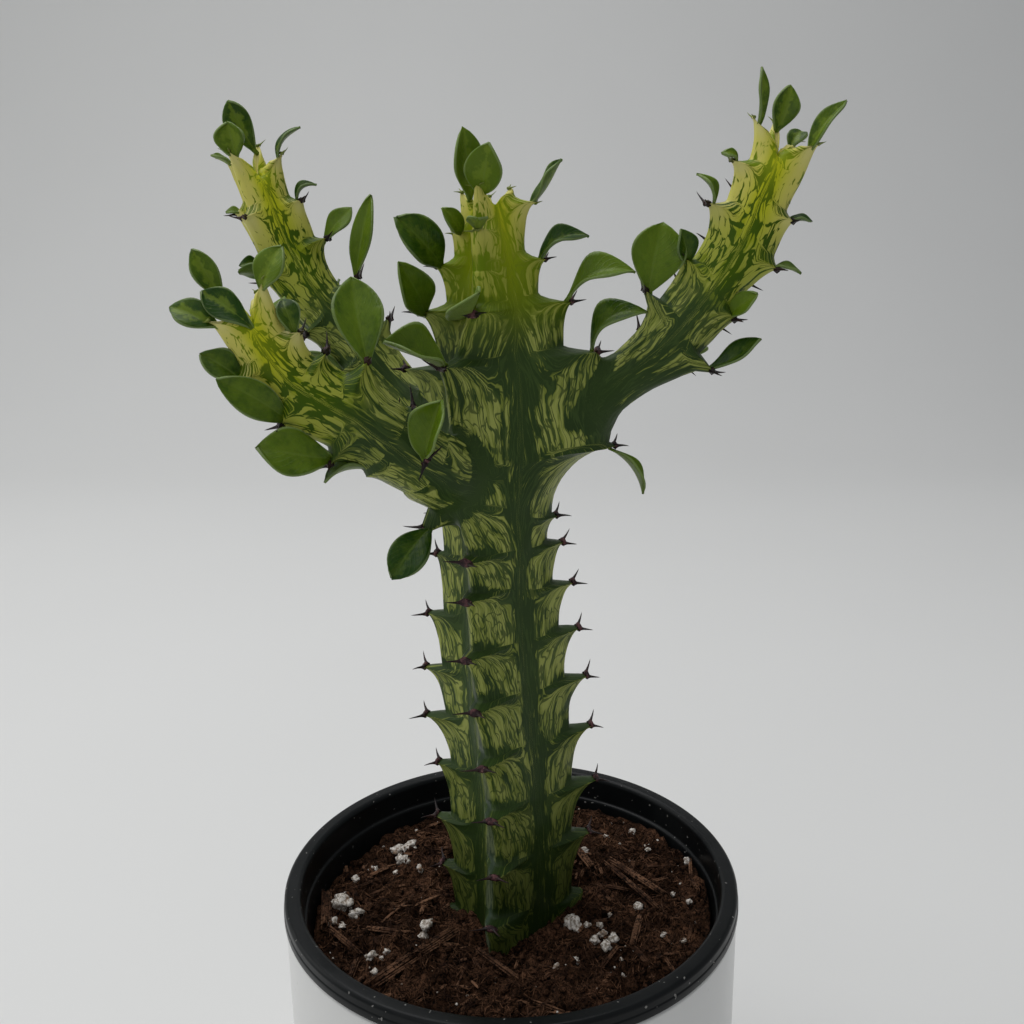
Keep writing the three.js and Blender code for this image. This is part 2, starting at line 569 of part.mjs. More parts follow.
function buildLeaves(random) {
  const blades = [];
  for (const [stem, ribIndex, tooth, tip, width, face, bend, fold] of LEAVES) {
    const [along, angle, reach] = ribIndex === null ? tooth : [];
    const root = leafRoot(stem, ribIndex === null ? { along, angle, reach } : stem.ribs[ribIndex][tooth]);
    blades.push(buildLeaf({ root, tip: vec(tip), face: vec(face), width, bend, fold }));
  }
  // The young teeth that the list leaves out carry leaves too, which stand out and droop a little.
  for (const stem of STEMS) {
    stem.ribs.forEach((teeth, ribIndex) => {
      teeth.slice(-5).forEach((tooth, index) => {
        const { along, angle } = tooth;
        const place = [stem, ribIndex, teeth.length - 5 + index];
        if (isListed(LEAVES, ...place) || isListed(BARE_TEETH, ...place) || along < 25) return;
        if (random() < 0.5) return;
        const { forward } = stem.axis.frame(along);
        const outward = stem.axis.outward(along, angle + 30 * (random() - 0.5));
        const length = index > 2 ? 6 + 4 * random() : 8 + 6 * random();
        const root = leafRoot(stem, tooth);
        const heading = outward.clone().multiplyScalar(0.75).addScaledVector(forward, 0.5 + 0.4 * random());
        const tip = root.clone().addScaledVector(heading, length);
        const face = forward.clone().addScaledVector(outward, -0.6);
        const width = length * (0.5 + 0.15 * random());
        blades.push(buildLeaf({ root, tip, face, width, bend: 0.16, plain: true }));
      });
    });
  }
  return blades.map(toSolid);
}

// ---------------------------------------------------------------- soil

function soilHeight(x, y) {
  const base = RIM_HEIGHT - SOIL_DROP + SOIL_TILT_X * x + SOIL_TILT_Y * y;
  const broad = Math.sin(x * 0.13 + 1.1) * Math.cos(y * 0.16 - 0.6);
  const fine = Math.sin(x * 0.47 + y * 0.31) * Math.cos(y * 0.53 - x * 0.22);
  return base + SOIL_ROUGHNESS * (0.8 * broad + 0.5 * fine);
}

// Soil inside the growing pot: a tapered plug with an uneven top.
function buildSoilPlug(inside) {
  const rings = 9;
  const segments = 40;
  const vertices = [[0, 0, soilHeight(0, 0)]];
  const triangles = [];
  for (let ring = 1; ring <= rings; ring += 1) {
    for (let i = 0; i < segments; i += 1) {
      const turn = ((i + (ring % 2) / 2) / segments) * Math.PI * 2;
      const radius = ((inside.topRadius - 0.4) * ring) / rings;
      const x = radius * Math.cos(turn);
      const y = radius * Math.sin(turn);
      vertices.push([x, y, soilHeight(x, y) - (ring === rings ? 1 : 0)]);
    }
  }
  const at = (ring, i) => 1 + (ring - 1) * segments + (i % segments);
  for (let i = 0; i < segments; i += 1) {
    triangles.push([0, at(1, i), at(1, i + 1)]);
    for (let ring = 1; ring < rings; ring += 1) {
      const shift = ring % 2;
      const quad = [at(ring, i), at(ring + 1, i + shift), at(ring + 1, i + 1 + shift), at(ring, i + 1)];
      const isSplitEarly = shift === 0;
      if (isSplitEarly) triangles.push([quad[0], quad[1], quad[2]], [quad[0], quad[2], quad[3]]);
      else triangles.push([quad[0], quad[1], quad[3]], [quad[1], quad[2], quad[3]]);
    }
  }
  const foot = vertices.length;
  for (let i = 0; i < segments; i += 1) {
    const turn = ((i + (rings % 2) / 2) / segments) * Math.PI * 2;
    const { footRadius, footHeight } = inside;
    vertices.push([footRadius * Math.cos(turn), footRadius * Math.sin(turn), footHeight]);
  }
  const middle = vertices.push([0, 0, inside.footHeight]) - 1;
  for (let i = 0; i < segments; i += 1) {
    const j = (i + 1) % segments;
    triangles.push([at(rings, i), foot + i, foot + j], [at(rings, i), foot + j, at(rings, j)]);
    triangles.push([middle, foot + j, foot + i]);
  }
  return makeGeometry(vertices, triangles);
}

function placeOnSoil(random, largest) {
  const turn = random() * Math.PI * 2;
  const distance = 22 + (largest - 22) * Math.sqrt(random());
  return [distance * Math.cos(turn), distance * Math.sin(turn)];
}

// Perlite crumbs and strips of bark, half sunk in the soil.
function buildSoilPieces(random, largest) {
  const pieces = [];
  for (let i = 0; i < PERLITE_COUNT; i += 1) {
    const size = 0.9 + 1.3 * random() ** 2;
    const [x, y] = placeOnSoil(random, largest - 3);
    const crumb = new THREE.OctahedronGeometry(size, 0);
    crumb.scale(1, 0.7 + 0.4 * random(), 0.7);
    crumb.rotateX(random() * 3).rotateZ(random() * 3);
    crumb.translate(x, y, soilHeight(x, y) + 0.25 * size);
    pieces.push(toSolid(crumb));
  }
  for (let i = 0; i < BARK_COUNT; i += 1) {
    const length = 6 + 9 * random();
    const [x, y] = placeOnSoil(random, largest - 9);
    const strip = new THREE.CylinderGeometry(0.5, 0.8, length, 4, 1);
    strip.rotateZ(Math.PI / 2 + 0.1 * (random() - 0.5)).rotateX(random());
    strip.rotateZ(random() * Math.PI * 2);
    strip.translate(x, y, soilHeight(x, y) + 0.2);
    pieces.push(toSolid(strip));
  }
  return pieces;
}

// ---------------------------------------------------------------- pots

const POT_SIDES = 48;
const LIP_SHEET = 1.4; // thickness of the lip's top
const LIP_SKIRT = 0.8; // thickness of the part that hangs down outside
const growingPotFloor = RIM_HEIGHT - GROWING_POT_DEPTH;
const ledgeHeight = RIM_HEIGHT - LEDGE_DROP;
const flangeInside = LIP_RADIUS - LIP_WIDTH;
const ledgeRadius = flangeInside - 0.3;
const wallTopRadius = ledgeRadius - 1;
const outerPotInside = OUTER_POT_RADIUS - OUTER_POT_WALL;

// Inner radius of the growing pot's tapered wall at a height above the table.
function growingPotInside(height) {
  const footInside = GROWING_POT_FOOT_RADIUS - GROWING_POT_WALL;
  const rise = (height - growingPotFloor) / (ledgeHeight - growingPotFloor);
  return footInside + (wallTopRadius - footInside) * rise;
}

function buildGrowingPot() {
  const wall = GROWING_POT_WALL;
  const cornerHeight = growingPotFloor + 2 * wall;
  const collar = outerPotInside - GAP;
  const shell = turned([
    [0, growingPotFloor], [GROWING_POT_FOOT_RADIUS - 1, growingPotFloor],
    [GROWING_POT_FOOT_RADIUS, growingPotFloor + 1], [wallTopRadius + wall, ledgeHeight - wall],
    [ledgeRadius + 0.7, ledgeHeight], [collar, RIM_HEIGHT - LIP_DEPTH - 0.6],
    [collar, RIM_HEIGHT - LIP_SHEET],
    [LIP_RADIUS - LIP_SKIRT, RIM_HEIGHT - LIP_SHEET], [LIP_RADIUS - LIP_SKIRT, RIM_HEIGHT - LIP_DEPTH],
    [LIP_RADIUS, RIM_HEIGHT - LIP_DEPTH], [LIP_RADIUS - 0.3, RIM_HEIGHT - 0.5],
    [LIP_RADIUS - 0.9, RIM_HEIGHT],
    [flangeInside, RIM_HEIGHT], [ledgeRadius - 0.2, RIM_HEIGHT - 0.6], [ledgeRadius - 0.4, ledgeHeight + 0.3],
    [wallTopRadius, ledgeHeight], [growingPotInside(cornerHeight), cornerHeight],
    [GROWING_POT_FOOT_RADIUS - 4, growingPotFloor + wall], [0, growingPotFloor + wall],
  ], POT_SIDES);
  let solid = toSolid(shell);
  for (let i = 0; i < DRAIN_HOLE_COUNT; i += 1) {
    const drill = new THREE.CylinderGeometry(DRAIN_HOLE_RADIUS, DRAIN_HOLE_RADIUS, 8, 10);
    drill.rotateX(Math.PI / 2);
    const turn = (i / DRAIN_HOLE_COUNT) * Math.PI * 2;
    drill.translate(DRAIN_CIRCLE * Math.cos(turn), DRAIN_CIRCLE * Math.sin(turn), growingPotFloor);
    solid = solid.subtract(toSolid(drill));
  }
  return toGeometry(solid);
}

// A plain straight cylinder with a small foot bevel and a rebate that the lip's skirt hangs over.
function buildOuterPot() {
  const rim = RIM_HEIGHT - LIP_SHEET - GAP;
  const rebate = LIP_RADIUS - LIP_SKIRT - 2 * GAP;
  return turned([
    [0, 0], [OUTER_POT_RADIUS - 1.5, 0], [OUTER_POT_RADIUS - 0.4, 0.5], [OUTER_POT_RADIUS, 1.6],
    [OUTER_POT_RADIUS, RIM_HEIGHT - LIP_DEPTH - GAP - 0.7], [rebate, RIM_HEIGHT - LIP_DEPTH - GAP],
    [rebate, rim - 0.5], [rebate - 0.5, rim], [outerPotInside + 0.5, rim], [outerPotInside, rim - 0.5],
    [outerPotInside, OUTER_POT_FLOOR + 2], [outerPotInside - 2, OUTER_POT_FLOOR], [0, OUTER_POT_FLOOR],
  ], POT_SIDES);
}

// ---------------------------------------------------------------- assembly

function buildPlant() {
  const random = makeRandom(SEED);
  const stems = STEMS.map((stem) => toSolid(buildStem(stem)));
  const spines = STEMS.flatMap((stem) => buildSpines(stem, random));
  return toGeometry(joinAll([...stems, ...buildLeaves(makeRandom(SEED + 2)), ...spines]));
}

function buildSoil() {
  const random = makeRandom(SEED + 1);
  const topHeight = RIM_HEIGHT - SOIL_DROP;
  const inside = {
    topRadius: growingPotInside(topHeight - 3) - GAP,
    footRadius: growingPotInside(growingPotFloor + 3) - GAP - 0.2,
    footHeight: growingPotFloor + 2 * GROWING_POT_WALL + GAP,
  };
  const filled = joinAll([toSolid(buildSoilPlug(inside)), ...buildSoilPieces(random, inside.topRadius)]);
  const foot = toSolid(buildStem(trunk, STEM_CLEARANCE)).translate([0, 0, -GAP]);
  const stem = toSolid(buildStem(trunk, STEM_CLEARANCE));
  return toGeometry(largestBody(filled.subtract(foot).subtract(stem)));
}

function makeMesh(name, geometry, look) {
  const mesh = new THREE.Mesh(geometry, new THREE.MeshStandardMaterial(look));
  mesh.name = name;
  return mesh;
}

const pottedEuphorbia = new THREE.Group();
pottedEuphorbia.add(
  makeMesh('outer_pot', buildOuterPot(), { color: 0xe6e8ea, roughness: 0.35, metalness: 0 }),
  makeMesh('nursery_pot', buildGrowingPot(), { color: 0x15171a, roughness: 0.42, metalness: 0 }),
  makeMesh('soil', buildSoil(), { color: 0x3a2217, roughness: 0.95, metalness: 0 }),
  makeMesh('euphorbia', buildPlant(), { color: 0x4f7a2c, roughness: 0.45, metalness: 0 }),
);

export default pottedEuphorbia;
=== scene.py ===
# %% [markdown]
# # A potted euphorbia
#
# The real object is a young marbled succulent with four toothed ribs, a leader and three leafy
# arms. It is rooted in dark, fibrous soil in a black growing pot, which hangs by its lip in a plain
# white outer pot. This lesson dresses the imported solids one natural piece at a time: pots first,
# then the soil, the ribbed skin, the spines and the leaves.
#
# Lengths are written in millimetres, because that is how the plant was measured, and each mesh is
# scaled to metres once, when it is finished.

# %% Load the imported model
import math
from types import SimpleNamespace

import bmesh
import bpy
import numpy as np
from mathutils import Matrix, Vector, noise
from mathutils.bvhtree import BVHTree


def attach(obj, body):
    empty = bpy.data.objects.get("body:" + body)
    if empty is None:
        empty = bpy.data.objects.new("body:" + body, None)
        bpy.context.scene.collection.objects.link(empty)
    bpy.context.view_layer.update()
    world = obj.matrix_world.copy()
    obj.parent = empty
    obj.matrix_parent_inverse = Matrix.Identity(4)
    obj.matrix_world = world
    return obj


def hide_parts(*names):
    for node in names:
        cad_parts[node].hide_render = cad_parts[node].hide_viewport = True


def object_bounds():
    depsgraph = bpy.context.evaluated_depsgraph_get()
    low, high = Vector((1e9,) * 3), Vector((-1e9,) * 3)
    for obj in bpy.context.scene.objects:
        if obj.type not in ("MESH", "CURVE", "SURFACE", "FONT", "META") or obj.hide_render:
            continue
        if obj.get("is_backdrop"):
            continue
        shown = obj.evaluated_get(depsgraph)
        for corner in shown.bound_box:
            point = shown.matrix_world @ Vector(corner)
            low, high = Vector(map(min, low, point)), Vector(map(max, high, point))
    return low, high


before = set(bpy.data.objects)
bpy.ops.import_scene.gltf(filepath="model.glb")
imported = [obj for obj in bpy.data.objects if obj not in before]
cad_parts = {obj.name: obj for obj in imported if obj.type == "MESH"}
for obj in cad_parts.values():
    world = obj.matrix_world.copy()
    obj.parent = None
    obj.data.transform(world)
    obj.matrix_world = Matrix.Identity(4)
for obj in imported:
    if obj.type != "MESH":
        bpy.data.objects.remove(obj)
CAD_BOX = [list(corner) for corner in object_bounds()]
MM = 0.001
NOISE_SEED = 1
noise.seed_set(NOISE_SEED)  # without it, Blender seeds its vector noise by the clock
print("nodes:", sorted(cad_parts))

# %% [markdown]
# ## Camera, floor and light
#
# The camera stands about 23 cm in front of the pot's middle and looks 14 degrees down, which is
# what the round rim's ellipse gives. The floor is one pale sweep that rises far behind the pot, so
# that no corner shows. Three large soft lights stand in for a bright room.

# %% Camera
CAMERA_PLACE = (1.6, -229, 249)
CAMERA_PITCH = 14.3  # degrees below the horizon
CAMERA_ROLL = -0.86
SENSOR_WIDTH = 36
FOCAL_SHARE = 1050 / 1024  # focal length as a share of the picture's width

lens = bpy.data.cameras.new("photo_view")
lens.sensor_width = SENSOR_WIDTH
lens.lens = SENSOR_WIDTH * FOCAL_SHARE
lens.clip_start = 0.01
camera = bpy.data.objects.new("photo_view", lens)
camera.location = Vector(CAMERA_PLACE) * MM
tilt = Matrix.Rotation(math.radians(90 - CAMERA_PITCH), 3, "X")
roll = Matrix.Rotation(math.radians(CAMERA_ROLL), 3, "Z")
camera.rotation_euler = (tilt @ roll).to_euler()
bpy.context.scene.collection.objects.link(camera)
bpy.context.scene.camera = camera
bpy.context.scene.view_settings.view_transform = "Standard"
print("lens:", round(lens.lens, 2), "mm")

# %% [markdown]
# Every piece is made the same way: a bmesh in millimetres becomes a mesh in metres, gets its
# material, and rides on the only body there is. A few helpers say that once. One of them draws a
# chain of edges out by one row, which is how most of the thin pieces grow.

# %% Helpers for pieces
def to_object(name, bm, material=None):
    """The bmesh, in millimetres, as an object in metres whose place is in its mesh."""
    bmesh.ops.scale(bm, vec=(MM, MM, MM), verts=bm.verts)
    mesh = bpy.data.meshes.new(name)
    bm.to_mesh(mesh)
    bm.free()
    mesh.shade_smooth()
    if material:
        mesh.materials.append(material)
    piece = bpy.data.objects.new(name, mesh)
    bpy.context.scene.collection.objects.link(piece)
    return piece


def hand_in(piece, slot, *nodes):
    """The piece stands for these nodes and rides on the body."""
    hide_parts(*nodes)
    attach(piece, "root")
    print(piece.name, "has", sum(len(f.vertices) - 2 for f in piece.data.polygons), "triangles")


def apply_modifiers(piece):
    """The shape that the modifiers give becomes the piece's own mesh."""
    depsgraph = bpy.context.evaluated_depsgraph_get()
    made = bpy.data.meshes.new_from_object(piece.evaluated_get(depsgraph))
    piece.modifiers.clear()
    piece.data = made


def extrude(bm, edges):
    """Draws the edges out by one row, and gives the new row's vertices and edges."""
    made = bmesh.ops.extrude_edge_only(bm, edges=edges)["geom"]
    verts = [v for v in made if isinstance(v, bmesh.types.BMVert)]
    return verts, [e for e in made if isinstance(e, bmesh.types.BMEdge)]

# %% [markdown]
# Thousands of small parts lie on the soil and the plant. They are built in a pile, batch by batch,
# and every random number comes from a seeded draw, so each run gives the same plant.

# %% Piles and draws
class Pile:
    """Many small parts in one bmesh, built in batches because operators slow down in a large one."""

    BATCH = 40

    def __init__(self, stamp=None):
        self.whole, self.part, self.count, self.stamp_name = bmesh.new(), bmesh.new(), 0, stamp
        if stamp:
            self.whole.verts.layers.float.new(stamp)

    def next(self):
        """The bmesh to build the next part in."""
        self.count += 1
        if self.count % self.BATCH == 0:
            self.flush()
        return self.part

    def stamp(self, value):
        """Marks the part just built with 1 + value, in the attribute that the pile was given."""
        layers = self.part.verts.layers.float
        layer = layers.get(self.stamp_name) or layers.new(self.stamp_name)
        for vert in self.part.verts:
            if vert[layer] == 0:
                vert[layer] = 1 + value

    def flush(self):
        mesh = bpy.data.meshes.new("batch")
        self.part.to_mesh(mesh)
        self.whole.from_mesh(mesh)
        bpy.data.meshes.remove(mesh)
        self.part.clear()

    def finish(self):
        self.flush()
        self.part.free()
        bmesh.ops.recalc_face_normals(self.whole, faces=self.whole.faces)
        return self.whole


class Draw:
    """A small repeatable random draw between 0 and 1, the same on every machine."""

    RANGE = 2 ** 32

    def __init__(self, seed):
        self.state = seed

    def __call__(self, low=0.0, high=1.0):
        self.state = (self.state * 1664525 + 1013904223) % self.RANGE
        return low + (high - low) * self.state / self.RANGE


def smoothstep(value, low, high):
    """0 below low, 1 above high, and a smooth climb between them."""
    share = np.clip((value - low) / (high - low), 0, 1)
    return share * share * (3 - 2 * share)

# %% [markdown]
# Materials are node trees. Writing them by hand is long, so a small class adds a node, sets its
# numbers and links its inputs in one call. Sums of masks then read like plain arithmetic.

# %% Helpers for node trees
class Nodes:
    """Adds nodes to one tree. An input is a number, a colour, a vector or another node's output."""

    def __init__(self, tree):
        self.tree = tree

    def feed(self, socket, value):
        """Links an output to the socket, or sets its own value. A colour is red, green and blue."""
        if isinstance(value, bpy.types.NodeSocket):
            self.tree.links.new(value, socket)
        else:
            socket.default_value = (*value, 1.0) if socket.type == "RGBA" else value

    def add(self, kind, inputs=None, **settings):
        node = self.tree.nodes.new(kind)
        for key, value in settings.items():
            setattr(node, key, value)
        for key, value in (inputs or {}).items():
            self.feed(node.inputs[key], value)
        return node

    def dress(self, **sockets):
        """Links what changes over the surface to the material's shader."""
        for key, value in sockets.items():
            self.feed(self.tree.nodes["Principled BSDF"].inputs[key.replace("_", " ")], value)

    def math(self, operation, *values):
        return self.add("ShaderNodeMath", dict(enumerate(values)), operation=operation).outputs[0]

    def plus(self, first, second):
        return self.math("ADD", first, second)

    def minus(self, first, second):
        return self.math("SUBTRACT", first, second)

    def times(self, first, second):
        return self.math("MULTIPLY", first, second)

    def off_middle(self, value):
        """How far a number lies from 0.5, either way."""
        return self.math("ABSOLUTE", self.minus(value, 0.5))

    def step(self, value, low, high, start=0.0, end=1.0):
        """Goes smoothly from start to end while the value goes from low to high."""
        sockets = {0: value, 1: low, 2: high, 3: start, 4: end}
        return self.add("ShaderNodeMapRange", sockets, interpolation_type="SMOOTHSTEP").outputs[0]

    def mix(self, share, first, second):
        """A colour between first and second."""
        return self.add("ShaderNodeMix", {0: share, 6: first, 7: second}, data_type="RGBA").outputs[2]

    def split(self, vector):
        return self.add("ShaderNodeSeparateXYZ", {0: vector}).outputs

    def join(self, x, y=0.0):
        return self.add("ShaderNodeCombineXYZ", {0: x, 1: y}).outputs[0]

    def stretch(self, vector, scale, shift=(0, 0, 0)):
        sockets = {0: vector, 1: scale, 2: shift}
        return self.add("ShaderNodeVectorMath", sockets, operation="MULTIPLY_ADD").outputs[0]

    def noise(self, vector, scale, detail=2.0, roughness=0.5, distortion=0.0):
        sockets = {"Vector": vector, "Scale": scale, "Detail": detail}
        sockets |= {"Roughness": roughness, "Distortion": distortion}
        return self.add("ShaderNodeTexNoise", sockets).outputs[0]

    def cells(self, vector):
        """Distance to the nearest edge between uneven cells about 1 wide."""
        sockets = {"Vector": vector, "Scale": 1.0}
        return self.add("ShaderNodeTexVoronoi", sockets, feature="DISTANCE_TO_EDGE").outputs["Distance"]

    def attribute(self, name, output="Fac"):
        return self.add("ShaderNodeAttribute", attribute_name=name).outputs[output]

    def place(self):
        return self.add("ShaderNodeTexCoord").outputs["Object"]

    def height(self):
        """Height above the table in metres."""
        return self.split(self.place())[2]

    def mottle(self, vector, scale, limits, first, second, detail=3.0):
        """Two tones in patches, by the shared group: the colour and the mask."""
        values = {"Scale": scale, "Detail": detail, "Low": limits[0], "High": limits[1]}
        values |= {"Vector": vector, "First": first, "Second": second}
        return self.add("ShaderNodeGroup", values, node_tree=MOTTLE).outputs

    def bump(self, height, strength, distance):
        sockets = {"Height": height, "Strength": strength, "Distance": distance}
        return self.add("ShaderNodeBump", sockets).outputs[0]


def new_material(name, **shader_values):
    """A material whose shader has these values, and the helper for the rest of its tree."""
    material = bpy.data.materials.new(name)
    material.use_nodes = True
    shader = material.node_tree.nodes["Principled BSDF"]
    for key, value in shader_values.items():
        shader.inputs[key.replace("_", " ")].default_value = value
    return material, Nodes(material.node_tree)

# %% [markdown]
# Many of these finishes are two tones in patches: peat, bark, horn, chalk. That effect is built
# once, as a node group with named sockets, and each material places it with its own values.

# %% A shared effect: two tones in patches
MOTTLE = bpy.data.node_groups.new("mottle", "ShaderNodeTree")
SOCKETS = [
    ("INPUT", "Vector", "Vector"), ("INPUT", "Scale", "Float"), ("INPUT", "Detail", "Float"),
    ("INPUT", "Low", "Float"), ("INPUT", "High", "Float"), ("INPUT", "First", "Color"),
    ("INPUT", "Second", "Color"), ("OUTPUT", "Color", "Color"), ("OUTPUT", "Mask", "Float"),
]
MOTTLE_ROUGHNESS = 0.6
for way, name, kind in SOCKETS:
    MOTTLE.interface.new_socket(name, in_out=way, socket_type="NodeSocket" + kind)
nodes = Nodes(MOTTLE)
given = MOTTLE.nodes.new("NodeGroupInput").outputs
patches = nodes.noise(given["Vector"], given["Scale"], given["Detail"], MOTTLE_ROUGHNESS)
mask = nodes.step(patches, given["Low"], given["High"])
nodes.add("NodeGroupOutput", {"Color": nodes.mix(mask, given["First"], given["Second"]), "Mask": mask})
print("shared group:", MOTTLE.name, [item.name for item in MOTTLE.interface.items_tree])

# %% [markdown]
# ### Floor and lights
#
# The sweep is a strip: a flat floor, a quarter turn far behind the pot and a wall. It isn't part
# of the object, so it is marked as stage.

# %% Floor
FLOOR_HALF_WIDTH = 2600
FLOOR_FRONT = -1500
SWEEP_START = 900  # where the floor begins to rise behind the pot
SWEEP_RADIUS = 700
SWEEP_STEPS = 16
WALL_HEIGHT = 2600

profile = [(FLOOR_FRONT, 0), (SWEEP_START, 0)]
for i in range(1, SWEEP_STEPS + 1):
    turn = math.pi / 2 * i / SWEEP_STEPS
    profile.append((SWEEP_START + SWEEP_RADIUS * math.sin(turn), SWEEP_RADIUS * (1 - math.cos(turn))))
profile.append((SWEEP_START + SWEEP_RADIUS, WALL_HEIGHT))

bm = bmesh.new()
edge = [bm.verts.new((-FLOOR_HALF_WIDTH, y, z)) for y, z in profile]
line = [bm.edges.new(pair) for pair in zip(edge, edge[1:])]
far_side, _ = extrude(bm, line)
bmesh.ops.translate(bm, verts=far_side, vec=(2 * FLOOR_HALF_WIDTH, 0, 0))

sweep_paint, nodes = new_material("pale_sweep", Roughness=0.8)
grain = nodes.noise(nodes.place(), 3.0)
nodes.dress(Base_Color=nodes.mix(grain, (0.71, 0.71, 0.7), (0.75, 0.75, 0.74)))
floor = to_object("floor", bm, sweep_paint)
floor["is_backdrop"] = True

# %% Lights
SOFTBOXES = [  # name, place and aim in metres, size, power in watts and tint
    ("overhead", (-0.30, 0.15, 1.35), (0, 0, 0.15), (1.5, 1.2), 13, (1, 1, 1)),
    ("window_left", (-1.7, 0.4, 0.9), (0, 0.2, 0.15), (1.2, 1.2), 5, (1.0, 1.0, 0.97)),
    ("front", (-0.7, -1.5, 0.9), (0, 0, 0.18), (1.0, 1.0), 2.5, (1, 1, 1)),
]
ROOM_TINT = (0.93, 0.96, 1.0, 1.0)
ROOM_STRENGTH = 0.28

for name, place, aim, size, power, tint in SOFTBOXES:
    light = bpy.data.lights.new(name, "AREA")
    light.shape = "RECTANGLE"
    light.size, light.size_y = size
    light.energy = power
    light.color = tint
    box = bpy.data.objects.new(name, light)
    box.location = place
    box.rotation_euler = (Vector(aim) - Vector(place)).to_track_quat("-Z", "Y").to_euler()
    bpy.context.scene.collection.objects.link(box)

world = bpy.data.worlds.new("room")
world.use_nodes = True
room = world.node_tree.nodes["Background"].inputs
room["Color"].default_value, room["Strength"].default_value = ROOM_TINT, ROOM_STRENGTH
bpy.context.scene.world = world
print("softboxes:", [row[0] for row in SOFTBOXES])

# %% [markdown]
# ## The outer pot
#
# A straight white cylinder with a satin glaze. A turned thing is one outline spun about its axis,
# so the outline is the only thing to draw. The rebate near the top leaves room for the black lip's
# skirt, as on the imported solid, and 192 steps keep the edge round in a close view.

# %% Turned shapes
SPIN_STEPS = 192
CORNER_SHARE = 0.35  # of the shorter run beside a corner, that its round may take
CORNER_REACH = 0.5
CORNER_CUTS = 3
OUTER_POT_OUTLINE = [
    (0, 0), (53.1, 0), (54.2, 0.5), (54.6, 1.6), (54.6, 94.7), (53.6, 95.4), (53.6, 97.8), (53.1, 98.3),
    (52.1, 98.3), (51.6, 97.8), (51.6, 6), (49.6, 4), (0, 4),
]


def rounded(points):
    """The outline with each corner between two runs cut to a small round."""
    corners = [Vector(p) for p in points]
    line = [corners[0]]
    for before, corner, after in zip(corners, corners[1:], corners[2:]):
        runs = (before - corner).length, (after - corner).length
        reach = min(CORNER_SHARE * runs[0], CORNER_SHARE * runs[1], CORNER_REACH)
        start = corner + reach * (before - corner).normalized()
        end = corner + reach * (after - corner).normalized()
        for i in range(CORNER_CUTS + 1):
            t = i / CORNER_CUTS
            line.append((1 - t) ** 2 * start + 2 * t * (1 - t) * corner + t * t * end)
    return [*line, corners[-1]]


def spin_outline(points):
    """A closed turned body from (radius, height) points that start and end on the axis."""
    bm = bmesh.new()
    verts = [bm.verts.new((radius, 0, height)) for radius, height in rounded(points)]
    edges = [bm.edges.new(pair) for pair in zip(verts, verts[1:])]
    bmesh.ops.spin(
        bm, geom=verts + edges, cent=(0, 0, 0), axis=(0, 0, 1),
        angle=math.tau, steps=SPIN_STEPS, use_merge=True, use_duplicate=False,
    )
    bmesh.ops.remove_doubles(bm, verts=bm.verts, dist=1e-4)
    bmesh.ops.recalc_face_normals(bm, faces=bm.faces)
    return bm

# %% The glazed pot
glaze, nodes = new_material("satin_white_glaze", Coat_Roughness=0.12, Coat_Weight=0.35)
cloud = nodes.noise(nodes.place(), 22.0, 3.0)
speck = nodes.step(nodes.noise(nodes.place(), 420.0, 1.0), 0.72, 0.78)
white = nodes.mix(cloud, (0.66, 0.66, 0.645), (0.71, 0.71, 0.695))
white = nodes.mix(nodes.times(speck, 0.25), white, (0.45, 0.44, 0.42))
satin = nodes.step(cloud, 0.3, 0.7, 0.30, 0.34)
nodes.dress(Base_Color=white, Roughness=satin, Normal=nodes.bump(cloud, 0.015, 0.0003))
outer_pot = to_object("outer_pot_glazed", spin_outline(OUTER_POT_OUTLINE), glaze)
hand_in(outer_pot, "outer_pot", "outer_pot")

# %% [markdown]
# ## The growing pot
#
# A thin black injection-moulded pot. Its flat lip carries it, a stacking ledge runs inside a little
# below, and fine mould lines show as pale rings there. The floor has six drain holes, cut from the
# spun body with a boolean.

# %% Black moulded plastic
GROWING_POT_OUTLINE = [
    (0, 10), (39, 10), (40, 11), (50.9, 91.7), (51.4, 92.9), (51.3, 95.1), (51.3, 98.6), (54.2, 98.6),
    (54.2, 95.7), (55, 95.7), (54.95, 97.4), (54.75, 97.7), (54.75, 99.3), (54.1, 100), (51.6, 100),
    (51.0, 99.6), (50.7, 98.9), (50.45, 93.6), (50.3, 93.2), (49.9, 93.0), (49.7, 92.5), (40.2, 13),
    (36, 11.2), (0, 11.2),
]
FLOOR_LEVEL = 10
DRAIN_HOLES = 6
DRAIN_CIRCLE = 27
DRAIN_RADIUS = 4

plastic, nodes = new_material("black_plastic", Specular_IOR_Level=0.17)
cloud = nodes.noise(nodes.place(), 60.0, 4.0, 0.6)
dust = nodes.step(nodes.noise(nodes.place(), 900.0, 1.0), 0.735, 0.76)
pebbling = nodes.step(nodes.noise(nodes.place(), 260.0, 2.0), 0.35, 0.75)
black = nodes.mix(cloud, (0.002, 0.003, 0.003), (0.007, 0.008, 0.009))
black = nodes.mix(nodes.times(dust, 0.55), black, (0.35, 0.34, 0.32))
rough = nodes.step(cloud, 0.3, 0.7, 0.28, 0.44)
nodes.dress(Base_Color=black, Roughness=rough, Normal=nodes.bump(pebbling, 0.12, 0.0001))
growing_pot = to_object("growing_pot_moulded", spin_outline(GROWING_POT_OUTLINE), plastic)

